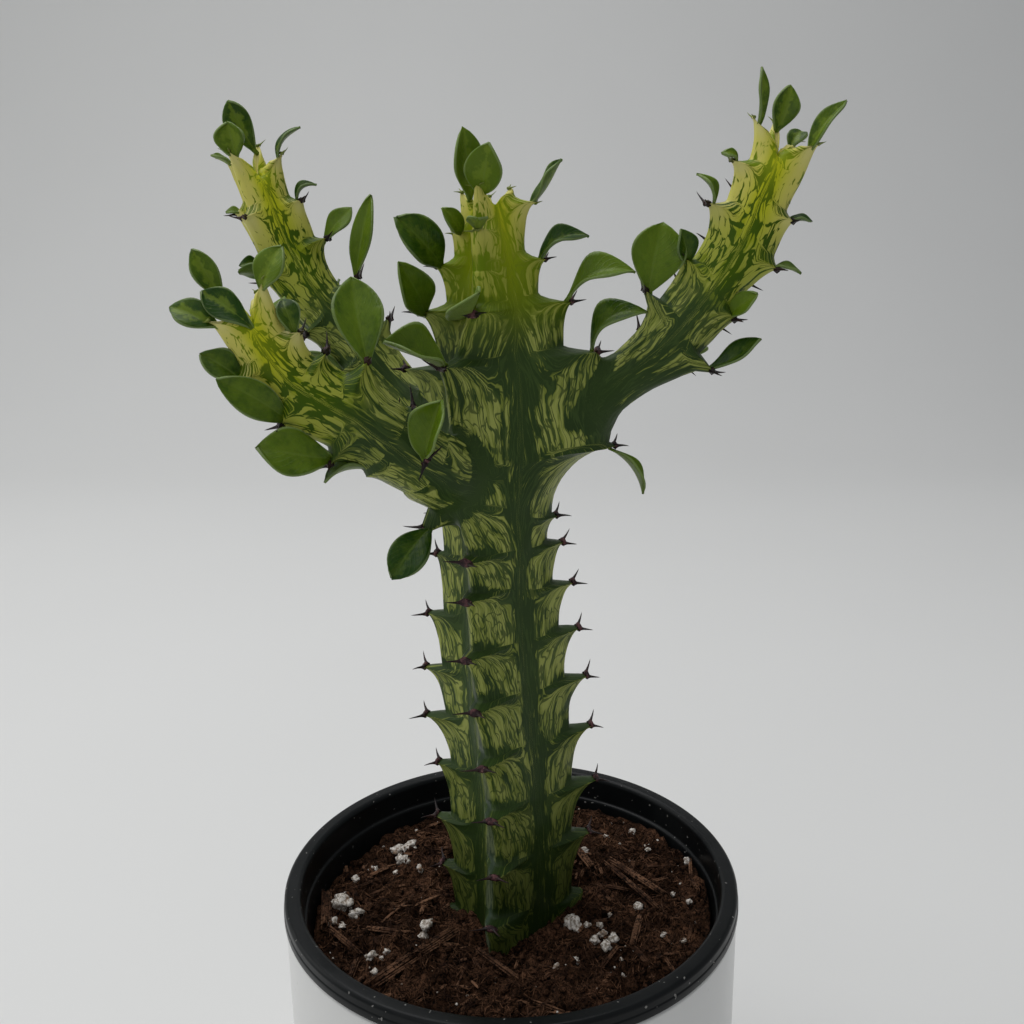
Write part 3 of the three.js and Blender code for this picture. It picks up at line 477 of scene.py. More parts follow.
bm = bmesh.new()
for i in range(DRAIN_HOLES):
    turn = Matrix.Rotation(math.tau * i / DRAIN_HOLES, 4, "Z")
    bmesh.ops.create_cone(
        bm, cap_ends=True, segments=32, radius1=DRAIN_RADIUS, radius2=DRAIN_RADIUS, depth=8,
        matrix=turn @ Matrix.Translation((DRAIN_CIRCLE, 0, FLOOR_LEVEL)),
    )
drill = to_object("drill", bm)
cut = growing_pot.modifiers.new("drain_holes", "BOOLEAN")
cut.operation, cut.object, cut.solver = "DIFFERENCE", drill, "EXACT"
apply_modifiers(growing_pot)
bpy.data.objects.remove(drill)
hand_in(growing_pot, "nursery_pot", "nursery_pot")

# %% [markdown]
# ## The soil
#
# Peat and coir make an uneven bed. One disc of fine faces, lifted by layers of noise, gives the
# bed, and thousands of fibres, crumbs, strips of bark and white perlite lie on it. The bed
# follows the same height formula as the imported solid, with finer layers on top.

# %% Soil height
RIM_HEIGHT = 100  # of the growing pot's lip
SOIL_DROP = 10.5
SOIL_TILT = (0.045, 0.025)
SOIL_ROUGHNESS = 1.1
SOIL_RADIUS = 48.6


def soil_height(x, y):
    base = RIM_HEIGHT - SOIL_DROP + SOIL_TILT[0] * x + SOIL_TILT[1] * y
    broad = math.sin(x * 0.13 + 1.1) * math.cos(y * 0.16 - 0.6)
    fine = math.sin(x * 0.47 + y * 0.31) * math.cos(y * 0.53 - x * 0.22)
    return base + SOIL_ROUGHNESS * (0.8 * broad + 0.5 * fine)


def soil_top(x, y):
    """The height with the clods and crumbs of the fine bed."""
    clods = noise.fractal(Vector((x, y, 3.0)) * 0.33, 0.6, 2.1, 3)
    crumbs = noise.fractal(Vector((x, y, 9.0)) * 1.3, 0.8, 2.0, 3)
    return soil_height(x, y) + 1.5 * clods + 0.6 * crumbs

# %% Soil bed
BED_RINGS = 96
BED_SEGMENTS = 240
BED_FOOT = 13  # height of the bed's flat underside
BED_TAPER = 0.8  # the underside is this much of the top across

bm = bmesh.new()
bmesh.ops.create_circle(bm, cap_ends=False, segments=BED_SEGMENTS, radius=SOIL_RADIUS)
outer = list(bm.edges)
rim = outer
for ring in range(BED_RINGS - 1):
    inner, rim = extrude(bm, rim)
    shrink = 1 - 1 / (BED_RINGS - ring)
    bmesh.ops.scale(bm, vec=(shrink, shrink, 1), verts=inner)
bmesh.ops.pointmerge(bm, verts=inner, merge_co=(0, 0, 0))
for v in bm.verts:
    v.co.z = soil_top(v.co.x, v.co.y)
low, _ = extrude(bm, outer)
for v in low:
    v.co = (v.co.x * BED_TAPER, v.co.y * BED_TAPER, BED_FOOT)
bmesh.ops.holes_fill(bm, edges=[e for e in bm.edges if e.is_boundary], sides=0)
bmesh.ops.recalc_face_normals(bm, faces=bm.faces)

peat, nodes = new_material("peat", Roughness=0.9, Specular_IOR_Level=0.06)
fibre = nodes.noise(nodes.place(), 700.0, 6.0, 0.72, 2.0)
# Painted shade: the near-black low end of the fibre noise stands for the shaded gaps between fibres; the
# browns are the peat's own colour.
deep = nodes.mix(nodes.step(fibre, 0.40, 0.62), (0.0015, 0.0008, 0.0005), (0.050, 0.023, 0.012))
warm = nodes.mix(nodes.step(fibre, 0.38, 0.66), (0.006, 0.003, 0.002), (0.17, 0.082, 0.046))
brown = nodes.mottle(nodes.place(), 130.0, (0.42, 0.66), deep, warm)[0]
nodes.dress(Base_Color=brown, Normal=nodes.bump(fibre, 1.0, 0.0008))
soil_bed = to_object("soil_bed", bm, peat)
hand_in(soil_bed, "soil", "soil")

# %% [markdown]
# ### Fibres and bark
#
# Coir threads are thin bent strips, and a piece of bark is a bundle of straight ones. A strip
# starts as a small ring of vertices that is extruded along a path, ring by ring.

# %% Strips along a path
def add_strip(bm, path, width, height, draw, sides, roughness=0.2):
    """A tapered, rough strip along the points of a path."""
    points = [Vector(p) for p in path]
    count = len(points)
    ring = bmesh.ops.create_circle(bm, cap_ends=False, segments=sides, radius=1)["verts"]
    flat = [v.co.copy() for v in ring]
    edges = list({e for v in ring for e in v.link_edges})
    bottom = edges
    for i, point in enumerate(points):
        ahead = points[min(i + 1, count - 1)] - points[max(i - 1, 0)]
        turn = ahead.to_track_quat("Z", "Y").to_matrix()
        taper = 0.35 + 0.65 * math.sin(math.pi * (0.12 + 0.76 * i / (count - 1)))
        if i:
            ring, edges = extrude(bm, edges)
        for v, corner in zip(ring, flat):
            swell = taper * (1 + roughness * (draw() - 0.5) * 2)
            v.co = point + turn @ Vector((corner.x * width * swell / 2, corner.y * height * swell / 2, 0))
    bmesh.ops.holes_fill(bm, edges=[*bottom, *edges], sides=0)


def lie_on_soil(start, end, lift, bow, draw, count):
    """Points from start to end that follow the bed, with a sideways bow."""
    start, end = Vector(start), Vector(end)
    side = Vector((-(end - start).y, (end - start).x)) * bow
    path = []
    for i in range(count):
        t = i / (count - 1)
        x, y = start.lerp(end, t) + side * math.sin(math.pi * t)
        path.append((x, y, soil_top(x, y) + lift + 0.25 * (draw() - 0.5)))
    return path

# %% [markdown]
# What is strewn on the soil lies anywhere in the pot but where the stem stands. A seeded draw
# gives the same places each time.

# %% Random places on the soil
STEM_PLACE = (1, -2)
POT_MARGIN = 1.0


def anywhere(draw, reach, clear=0.0):
    """A random point of the pot, up to reach outside a clear circle round its middle."""
    distance = clear + reach * math.sqrt(draw())
    turn = draw(0, math.tau)
    return distance * math.cos(turn), distance * math.sin(turn)


def onward(start, length, draw):
    """The point this far from start, in a random direction."""
    heading = draw(0, math.tau)
    return start[0] + length * math.cos(heading), start[1] + length * math.sin(heading)


def is_clear_of_stem(x, y, reach):
    return math.hypot(x - STEM_PLACE[0], y - STEM_PLACE[1]) > reach


def is_free(ends, reach):
    """Both ends lie in the pot and further than reach from the stem's middle."""
    return all(math.hypot(*end) < SOIL_RADIUS - POT_MARGIN and is_clear_of_stem(*end, reach) for end in ends)

# %% Coir fibres
FIBRE_COUNT = 3600
FIBRE_CLEARANCE = 15.0  # from the stem's middle

draw, pile = Draw(41), Pile()
while pile.count < FIBRE_COUNT:
    start = anywhere(draw, SOIL_RADIUS)
    end = onward(start, 1.2 + 6.5 * draw() ** 2.5, draw)
    if is_free((start, end), FIBRE_CLEARANCE):
        path = lie_on_soil(start, end, draw(0.05, 0.75), draw(-0.3, 0.3), draw, 4)
        thick = draw(0.12, 0.34)
        add_strip(pile.next(), path, thick, thick * 0.7, draw, sides=3)

coir, nodes = new_material("coir_fibre", Roughness=0.85, Specular_IOR_Level=0.1)
thread = nodes.noise(nodes.place(), 1500.0, 2.0)
brown = nodes.mottle(nodes.place(), 210.0, (0.36, 0.66), (0.014, 0.006, 0.004), (0.19, 0.095, 0.052))[0]
brown = nodes.mix(nodes.step(thread, 0.4, 0.7), brown, (0.035, 0.017, 0.010))
nodes.dress(Base_Color=brown, Normal=nodes.bump(thread, 0.5, 0.0002))
fibres = to_object("coir_fibres", pile.finish(), coir)
hand_in(fibres, "soil", "soil")

# %% Bark strips
BARK = [  # points on the soil, then width and height in mm
    ([(-36.5, -5), (-24.2, -9.7)], 1.7, 1.0), ([(-44.3, -6.8), (-35.8, -14.6)], 1.6, 1.0),
    ([(-36.2, -16), (-36.9, -23.5)], 1.5, 0.9), ([(-32.1, -27), (-22.5, -18.1), (-13.5, -9)], 3.4, 2.0),
    ([(-33.7, 5.8), (-29.3, 1.4), (-24.2, 1.3), (-18.2, 6.5)], 0.8, 0.7),
    ([(-46.4, 26), (-43.5, 17.2)], 1.3, 0.9), ([(-47.3, 8), (-45, -6.8)], 2.6, 1.0),
    ([(-21.4, -31.7), (-14.6, -27)], 0.8, 0.6), ([(-8.5, -17), (1.5, -28.3)], 1.5, 1.0),
    ([(26.1, 14.3), (39.2, -1)], 1.9, 1.4), ([(25, 14), (36, -6)], 1.5, 1.0),
    ([(17.3, 21.3), (21.3, 11.8)], 2.0, 1.3), ([(21, 8), (31, 3.4)], 1.3, 0.8),
    ([(31.2, -7.7), (27.8, -19.5), (31.3, -25.3)], 1.5, 1.0), ([(47, 16), (45.5, 4.8), (46.5, 0)], 0.9, 0.7),
    ([(24.5, -20.4), (19.9, -25.5), (22.1, -31.5)], 0.9, 0.7), ([(32.4, -6.1), (36.5, -6.2)], 0.8, 0.6),
]
SPLINTER_COUNT = 420
BARK_REACH = 46
BARK_CLEARANCE = 17
SPLINTERS_PER_MM = 2.6


def add_splinters(pile, start, end, width, height, draw):
    """A piece of bark: straight splinters side by side, each with its own ends."""
    start, end = Vector(start), Vector(end)
    run = end - start
    side = Vector((-run.y, run.x)).normalized()
    low, high = soil_top(*start) + 0.25 * height, soil_top(*end) + 0.25 * height
    count = max(1, round(width * SPLINTERS_PER_MM))
    for i in range(count):
        offset = side * ((i + 0.5) / count - 0.5) * width
        first, last = draw(-0.04, 0.14), draw(0.86, 1.04)
        crown = height * (0.25 + 0.5 * math.sin(math.pi * (i + 0.5) / count)) + draw(-0.12, 0.12)
        path = []
        for step in range(5):
            t = first + (last - first) * step / 4
            x, y = start + run * t + offset + side * draw(-0.08, 0.08)
            path.append((x, y, low + (high - low) * t + crown))
        thick = width / count * draw(1.1, 1.7)
        add_strip(pile.next(), path, thick, thick * draw(0.7, 1.1), draw, sides=5, roughness=0.15)

# %% Bark on the soil
draw, pile = Draw(77), Pile()
for corners, width, height in BARK:
    for start, end in zip(corners, corners[1:]):
        add_splinters(pile, start, end, width, height, draw)
while pile.count < SPLINTER_COUNT:
    start = anywhere(draw, BARK_REACH)
    end = onward(start, 2 + 7 * draw() ** 2, draw)
    if is_free((start, end), BARK_CLEARANCE):
        width = draw(0.3, 1.1)
        add_splinters(pile, start, end, width, width * 0.6, draw)

bark, nodes = new_material("bark", Roughness=0.85, Specular_IOR_Level=0.1)
grain = nodes.noise(nodes.place(), 1100.0, 4.0, 0.65, 0.6)
brown = nodes.mottle(nodes.place(), 110.0, (0.32, 0.68), (0.040, 0.018, 0.010), (0.22, 0.115, 0.066))[0]
brown = nodes.mix(nodes.step(grain, 0.45, 0.62), brown, (0.010, 0.005, 0.003))
nodes.dress(Base_Color=brown, Normal=nodes.bump(grain, 0.8, 0.0004))
strips = to_object("bark_strips", pile.finish(), bark)
hand_in(strips, "soil", "soil")

# %% [markdown]
# ### Perlite and peat crumbs
#
# Perlite is puffed volcanic glass: chalky white lumps, some in clusters. Each lump is a small
# round ball of faces whose vertices are pushed in and out by noise. Peat crumbs are the same thing,
# darker and with fewer faces.

# %% Lumps
PERLITE = [  # x, y and radius in mm of the lumps that show best
    (-31.3, 26.6, 1.5), (-30.6, 24.6, 1.3), (-27.5, 27.7, 1.6), (-28.4, 25.2, 1.2), (-29.2, 19.8, 1.6),
    (-39, 19.2, 0.9), (-36.1, 17.9, 0.7), (-40.8, 13.4, 0.9), (-30.4, 16, 0.7), (-24.1, 15.9, 0.9),
    (-42.6, 8.7, 0.6), (-42.4, 1.2, 2.0), (-38.9, -0.9, 1.7), (-44.9, 3.6, 1.1), (-44, -2.8, 1.3),
    (-41.6, -3.9, 1.0), (-40.6, 1.9, 1.4), (-20.6, -8.3, 1.4), (-21.4, -10.3, 1.1), (-32.8, -17, 1.2),
    (-29.3, -15.7, 0.9), (-30.4, -17.3, 0.8), (-31.6, -22.8, 1.0), (14.4, -8.4, 2.0), (15.6, -9.4, 1.5),
    (18.1, -11.1, 0.8), (19.5, -14.5, 1.1), (21.6, -13.3, 1.0), (21.1, -11.2, 0.7), (23.9, -16.4, 1.2),
    (21.7, -18.8, 1.1), (22, -20.2, 1.2), (14.7, -21.6, 1.0), (10.3, -22.7, 0.9), (25, -25.2, 0.7),
    (31.2, -3.3, 1.2), (24.1, -5.9, 0.7), (19.8, 22.6, 1.5), (36.3, 18.9, 0.7), (40.3, 1, 0.7),
    (43.7, -2.8, 0.6), (40, -17.3, 0.8), (35.5, -15.9, 0.6), (46, 14, 0.9), (33.3, 28.1, 0.9),
    (25.9, 25.8, 0.9),
]
SMALL_PERLITE = 110
PEAT_CRUMBS = 1800
CRUMB_CLEARANCE = 9  # from the stem's middle


def add_lump(bm, x, y, sink, size, draw, subdivisions, bumpiness):
    """A rough lump whose middle is sink above the soil: a small icosphere pushed in and out by noise."""
    centre = Vector((x, y, soil_top(x, y) + sink))
    made = bmesh.ops.create_icosphere(bm, subdivisions=subdivisions, radius=1)["verts"]
    shift = Vector((draw(0, 90), draw(0, 90), draw(0, 90)))
    squash = Vector((draw(0.8, 1.2), draw(0.7, 1.1), draw(0.6, 0.9)))
    turn = Matrix.Rotation(draw(0, math.tau), 3, "Z") @ Matrix.Rotation(draw(-0.6, 0.6), 3, "X")
    for v in made:
        coarse, fine = noise.noise(v.co * 1.3 + shift), noise.noise(v.co * 3.7 + shift)
        push = 1 + bumpiness * coarse + 0.4 * bumpiness * fine
        v.co = centre + turn @ (v.co * squash * push * size)

# %% Perlite and crumbs on the soil
draw, pile = Draw(113), Pile()
for x, y, radius in PERLITE:
    add_lump(pile.next(), x, y, 0.35 * radius, radius * 1.05, draw, 3, 0.75)
for i in range(SMALL_PERLITE):
    x, y = anywhere(draw, 30, clear=17)
    radius = 0.18 + 0.4 * draw() ** 3
    add_lump(pile.next(), x, y, 0.3 * radius, radius, draw, 2, 0.6)

chalk, nodes = new_material("perlite", Roughness=0.9, Specular_IOR_Level=0.1)
pores = nodes.noise(nodes.place(), 1400.0, 3.0, 0.6)
chalky = nodes.mix(nodes.step(pores, 0.38, 0.6), (0.24, 0.20, 0.16), (0.68, 0.64, 0.59))
white = nodes.mottle(nodes.place(), 320.0, (0.55, 0.72), chalky, (0.20, 0.13, 0.085), 2.0)[0]
nodes.dress(Base_Color=white, Normal=nodes.bump(pores, 0.6, 0.0003))
crumbs = to_object("perlite_crumbs", pile.finish(), chalk)
hand_in(crumbs, "soil", "soil")

draw, pile = Draw(151), Pile()
while pile.count < PEAT_CRUMBS:
    x, y = anywhere(draw, 47.5)
    if is_clear_of_stem(x, y, CRUMB_CLEARANCE):
        radius = 0.3 + 1.0 * draw() ** 3
        add_lump(pile.next(), x, y, 0.25 * radius, radius, draw, 1, 0.7)
peat_crumbs = to_object("peat_crumbs", pile.finish(), peat)
hand_in(peat_crumbs, "soil", "soil")

# %% [markdown]
# ## The ribbed stems
#
# A stem is a line that it grows along, with four ribs round it. A rib is a list of teeth: the place
# along the stem, the angle round it, the reach of the tooth's tip and the reach of the notch above
# it. Those few numbers were measured on the plant, and the solids were made from them too. A fine
# grid is bent over them by one formula, so the skin has every tooth, shelf and hollow.

# %% The line a stem grows along
class Axis:
    """A smooth line through given points, read by its length in mm from the foot."""

    SAMPLES = 60  # points on each span

    def __init__(self, points):
        knots = np.array(points, float)
        line = [2 * knots[0] - knots[1], *knots, 2 * knots[-1] - knots[-2]]
        spans = [self.span(*line[i:i + 4]) for i in range(len(knots) - 1)]
        self.places = np.vstack([*spans, knots[-1:]])
        strides = np.linalg.norm(np.diff(self.places, axis=0), axis=1)
        self.lengths = np.concatenate([[0], np.cumsum(strides)])
        self.length = self.lengths[-1]

    def span(self, before, start, end, after):
        """A centripetal spline between start and end, which never loops or overshoots."""
        knots = np.cumsum([0, *(math.sqrt(np.linalg.norm(b - a)) for a, b in
                                ((before, start), (start, end), (end, after)))])
        t = np.linspace(knots[1], knots[2], self.SAMPLES, endpoint=False)[:, None]

        def blend(first, second, low, high):
            return ((high - t) * first + (t - low) * second) / (high - low)

        a = blend(before, start, knots[0], knots[1])
        b = blend(start, end, knots[1], knots[2])
        c = blend(end, after, knots[2], knots[3])
        return blend(blend(a, b, knots[0], knots[2]), blend(b, c, knots[1], knots[3]), knots[1], knots[2])

    def place(self, along):
        return np.stack([np.interp(along, self.lengths, self.places[:, i]) for i in range(3)], axis=-1)

    def frame(self, along):
        """Origin, forward, front and side at each place; front looks at the viewer."""
        inside = np.clip(along, 0, self.length)
        ahead = self.place(np.minimum(inside + 0.4, self.length)) - self.place(np.maximum(inside - 0.4, 0))
        forward = ahead / np.linalg.norm(ahead, axis=-1, keepdims=True)
        origin = self.place(inside) + forward * (along - inside)[..., None]
        front = np.array([0.0, -1.0, 0.0]) + forward * forward[..., 1:2]
        front /= np.linalg.norm(front, axis=-1, keepdims=True)
        return origin, forward, front, np.cross(forward, front)

    def outward(self, along, angle):
        _, _, front, side = self.frame(along)
        turn = np.radians(angle)[..., None]
        return front * np.cos(turn) + side * np.sin(turn)

    def point(self, along, angle, reach):
        origin = self.frame(along)[0]
        return origin + self.outward(along, angle) * reach[..., None]


HORN_ROOT = 0.6  # notch beside a stem's top tooth, as a share of the tooth's reach


def rib(teeth, angle=None):
    """Teeth as rows of place along, angle, tip reach and notch reach. The last stands free, as a horn."""
    rows = []
    for tooth in teeth:
        full = list(tooth) if angle is None else [tooth[0], angle, *tooth[1:]]
        rows.append(full if len(full) == 4 else [*full, full[-1]])
    rows[-1][3] = HORN_ROOT * rows[-1][2]
    return np.array(rows, float)

# %% The four stems
STEM_FOOT = 60  # height at which the trunk's line starts


def by_height(rows):
    """Rows of the trunk, whose first value is a height above the table, counted along its line."""
    return [(height - STEM_FOOT, *rest) for height, *rest in rows]


STEMS = {
    "trunk": {
        "axis": Axis([
            (1, -2, 60), (1, -2, 88), (0.9, -2, 125), (-0.6, -2, 145), (-1.3, -2, 170), (-1.2, -2, 194),
            (-0.9, -2, 210), (-0.9, -2, 225), (-1.2, -2, 238), (-1.9, -2, 250), (-2.7, -2, 259),
        ]),
        "core": by_height([
            (60, 9.5), (100, 9.2), (125, 8.8), (150, 8.6), (175, 8), (190, 8.4), (205, 10), (220, 9.5),
            (232, 7.5), (245, 5), (258, 3),
        ]),
        "ribs": [
            rib(by_height([
                (60, -19, 14), (96.5, -19, 18, 14), (110.4, -15, 18.5, 13.8), (124.8, -16, 18.7, 14),
                (138, -18, 18.8, 14), (151, -20, 18.8, 14), (162.7, -25, 18.6, 13.6), (175.6, -24, 18, 13),
                (184, -25, 17, 13.4), (194.6, -39, 15, 14.2), (202, -40, 14.8, 14.2), (225, -42, 17.5, 12.5),
                (235.7, -19, 14.5, 10), (244, -19, 9.2, 9), (252, -20, 8.5, 6), (261, -18, 5.5),
            ])),
            rib(by_height([
                (60, 15), (92.5, 17, 14), (109, 19, 14), (122.4, 20.8, 14.2), (135.4, 20.4, 14.5),
                (149.2, 20.2, 14.2), (161.8, 18.6, 13.2), (173.3, 17.4, 12), (183.3, 15, 10.8),
                (189.8, 13.4, 11.8), (205.4, 26.8, 25), (225.7, 22.6, 14.2), (236.4, 16.8, 9),
                (245.2, 11.5, 6.8), (256.5, 10.4, 5.5), (260, 5),
            ]), 103),
            rib(by_height([
                (60, 14), (90, 17, 14), (103, 18.5, 14), (117, 19, 14), (131, 19, 14), (144, 18.5, 14),
                (157, 18, 13.5), (169, 17.5, 13), (180, 16.5, 12.5), (190, 16, 12.5), (202, 16, 13),
                (214, 17, 13), (227, 15.5, 10.5), (239, 12.5, 7.5), (250, 9.5, 6), (259, 5.5),
            ]), 177),
            rib(by_height([
                (60, 252, 15), (88, 252, 18, 15.5), (99.6, 252, 19.2, 15.5), (112.9, 252, 20.4, 16),
                (128.5, 252, 19.2, 15), (141.3, 252, 20.8, 15), (152.9, 252, 19.8, 14.8),
                (166.1, 252, 18.2, 13.6), (180.5, 252, 15.4, 13), (190, 250, 15, 14), (203, 244, 18, 17),
                (222.7, 250, 22.4, 13.5), (235.6, 256, 17.6, 10.5), (245.4, 256, 12.6, 8),
                (252, 256, 8, 5.5), (260.2, 256, 5.3),
            ])),
        ],
    },
    "right_arm": {
        "axis": Axis([
            (1, -2, 207.4), (8.1, 0, 209.7), (19.3, 3, 214.8), (27.9, 5, 220.7), (36.8, 6, 227.5),
            (44.9, 6, 237), (51.8, 6, 247.1), (55.7, 6, 257.3), (58.6, 6, 264.6), (60.3, 6, 272),
        ]),
        "core": [(8, 6), (27, 4.6), (42, 5.6), (60, 5.6), (75, 5), (85, 3.9), (94, 2.5)],
        "ribs": [
            rib([(4, 6), (27, 5.4), (47.4, 12.4, 7.9), (58.4, 9.8, 7.5), (73.8, 11.1, 6.6), (83.2, 9.5, 5.4),
                 (94, 7.3)], -80),
            rib([(4, 6), (27, 5.4), (44.2, 11.8, 6.5), (54.7, 8.2, 5.6), (66.9, 9.5, 7), (76, 8.6, 6),
                 (91.3, 8)], 70),
            rib([(4, 6), (27, 5.4), (42, 10.5, 6.8), (52, 10.5, 6.8), (63, 10, 6.8), (77, 9.2, 6),
                 (92, 6.5)], 140),
            rib([(4, 208, 6), (27, 208, 5.4), (40, 208, 10, 6.8), (54, 208, 10.5, 6.8), (66, 208, 10, 6.6),
                 (79, 204, 9.5, 5.5), (95, 190, 5.6)]),
        ],
    },
    "back_arm": {
        "axis": Axis([
            (-3, 0, 207.1), (-7.5, 3, 207.6), (-16.8, 9, 210.8), (-26.2, 14, 218.3), (-36, 17, 229.2),
            (-45.8, 19, 241.7), (-50.6, 20, 252.3), (-53.6, 20, 261.3), (-55.8, 20, 268.3), (-56.8, 20, 273),
        ]),
        "core": [(8, 6), (27, 5.2), (42, 5.8), (60, 5.8), (75, 5.2), (85, 3.9), (92, 2.5)],
        "ribs": [
            rib([(4, 6), (27, 6), (38, 9.5, 6.8), (50, 9.8, 6.8), (63.4, 9.5, 6.8), (78, 8.2, 5.2),
                 (92, 5.8)], -40),
            rib([(4, 6), (27, 6), (41, 10.5, 7.4), (53.1, 11.2, 6), (67, 10.1, 6.9), (77.8, 7.9, 5.1),
                 (88.9, 7.2)], 85),
            rib([(4, 6), (27, 6), (40, 10, 7), (52, 10, 7), (62, 10, 6.8), (75, 8.5, 5.5), (93, 6)], 170),
            rib([(4, 6), (27, 6), (44, 10, 7), (56, 10, 7), (68, 9.5, 7.1), (80, 8.7, 5.4), (91.5, 7)], 250),
        ],
    },
    "front_arm": {
        "axis": Axis([
            (-3.1, -3, 201), (-9.1, -8, 200.4), (-15.2, -16, 205.2), (-22.6, -22, 211.5), (-30.6, -26, 218),
            (-40.1, -28, 224.3), (-44.8, -30, 231.9), (-47.1, -31, 238.3), (-48.7, -31, 241.9),
        ]),
        "core": [(-3, 5), (10, 7), (20, 6), (35, 6.2), (50, 5.8), (62, 4.2), (71, 2.8)],
        "ribs": [
            rib([
                (-3, -90, 5.5), (10, -90, 13.6, 8.4), (21, -80, 7.4), (30.9, -70, 8.4, 7.6),
                (39.5, -62, 11, 7.5), (50.7, -62, 8.7, 6.5), (59, -62, 8.9, 5.8), (70, -62, 7.6),
            ]),
            rib([(-3, 5.5), (10, 8.2), (21, 7), (31, 8.5, 7.2), (43, 11.4, 6.5), (51, 9.2, 6.2),
                 (61, 7.8, 4.8), (72.5, 5.4)], 85),
            rib([(-3, 5.5), (10, 8.2), (21, 7), (28, 9, 7), (38, 10, 7), (49, 9.5, 6.5), (60, 8.5, 5.4),
                 (71.5, 6)], 160),
            rib([(-3, 5.5), (10, 8.2), (21, 7), (27, 9, 7), (37, 10, 7), (47, 10, 6.5), (57, 9, 6),
                 (74, 8)], 225),
        ],
    },
}
ARMS = [name for name in STEMS if name != "trunk"]
print({name: round(stem["axis"].length, 1) for name, stem in STEMS.items()})

# %% [markdown]
# The grid's rows walk up a rib cell by cell. From a tooth's tip a short level shelf runs back to
# the notch, and from there a hollow crescent climbs to the next tip. The crescent is a quarter of
# a circle: straight up at the notch and level under the tip. Across the skin, the reach falls
# from the rib's edge to the bottom of the groove.

# %% Reach of the skin
SHELF_RISE = (0.8, 2.2)  # of old teeth and of young ones
SHELF_STEPS = (0.0, 0.2, 0.45, 0.75)
CLIMB_STEPS = (0.0, 0.12, 0.26, 0.4, 0.52, 0.63, 0.73, 0.81, 0.87, 0.92, 0.955, 0.98, 0.994)
SMOOTH_STEPS = (0.0, 0.12, 0.25, 0.37, 0.5, 0.62, 0.75, 0.87)
GAP_COLUMNS = 26  # across the skin from one rib to the next
COLUMN_CROWDING = 0.12  # how much closer the columns stand beside a rib
RIB_HALF_THICKNESS = 1.1
RIB_ROUNDING = 0.35
GROOVE_POWER = 1.9
TOOTH_POWER = (2.3, 4)  # of young teeth, which are broad, and of old ones, which are thin
SHELF_AGES = (20, 55)  # mm below the top where a shelf turns from young to old
TOOTH_AGES = (25, 75)
CROWN_DEPTH = 5.5  # the growing tip lies this far below the top teeth
CROWN_POWER = 0.75
HORN_TAPER = 0.65  # how much of a horn's thickness is gone at its tip
CAP_SHARES = (0.72, 0.42, 0.16, 0.0)  # the closed end draws in to its middle


def skin_rows(stem):
    """(cell, part, share) of each row of the grid."""
    ribs = stem["ribs"]
    cells = len(ribs[0])
    rows = [(0, "foot", share) for share in reversed(CAP_SHARES)]
    for cell in range(cells - 1):
        if all(teeth[cell][2] == teeth[cell][3] for teeth in ribs):
            rows += [(cell, "smooth", share) for share in SMOOTH_STEPS]
        else:
            rows += [(cell, "shelf", share) for share in SHELF_STEPS]
            rows += [(cell, "climb", share) for share in CLIMB_STEPS]
    rows.append((cells - 1, "shelf", 0.0))
    return rows + [(cells - 1, "cap", share) for share in CAP_SHARES]


def rib_at(teeth, cell, part, share):
    """Place along, angle, edge reach and valley reach of one rib on one row."""
    along, angle, tip, notch = teeth[cell]
    if part in ("foot", "cap"):
        return along, angle, tip, min(notch, tip)
    age = smoothstep(teeth[-1][0] - along, *SHELF_AGES)
    rise = SHELF_RISE[1] + (SHELF_RISE[0] - SHELF_RISE[1]) * age if notch < tip else 0.1
    if part == "shelf":
        fallen = share + (1 - age) * share * (1 - share)
        return along + rise * share, angle, tip + (notch - tip) * fallen, min(notch, tip)
    next_along, next_angle, next_tip, next_notch = teeth[cell + 1]
    start = along + rise
    edge = notch + (next_tip - notch) * (1 - math.sqrt(1 - share ** 2))
    valley = min(notch + (min(next_notch, next_tip) - notch) * share, edge)
    return start + (next_along - start) * share, angle + (next_angle - angle) * share, edge, valley

# %% [markdown]
# The grid's columns go round the stem. They crowd beside a rib, where the skin turns sharply, and
# one column runs along each rib's edge. A vertex gets its reach from the nearer rib.

# %% Columns of the skin
def skin_columns(stem):
    """(gap, across) of each column; each rib's middle has a column of its own."""
    columns = []
    for gap in range(len(stem["ribs"])):
        columns.append((gap, None))
        for i in range(GAP_COLUMNS + 1):
            even = i / GAP_COLUMNS
            columns.append((gap, even - COLUMN_CROWDING * math.sin(math.tau * even)))
    return [*columns, (0, None)]


def end_share(stem, cell, part, share):
    """0 below a stem's last climb and 1 at its top."""
    last = len(stem["ribs"][0]) - 1
    if cell == last:
        return 1.0
    return share ** 2 if cell == last - 1 and part == "climb" else 0.0


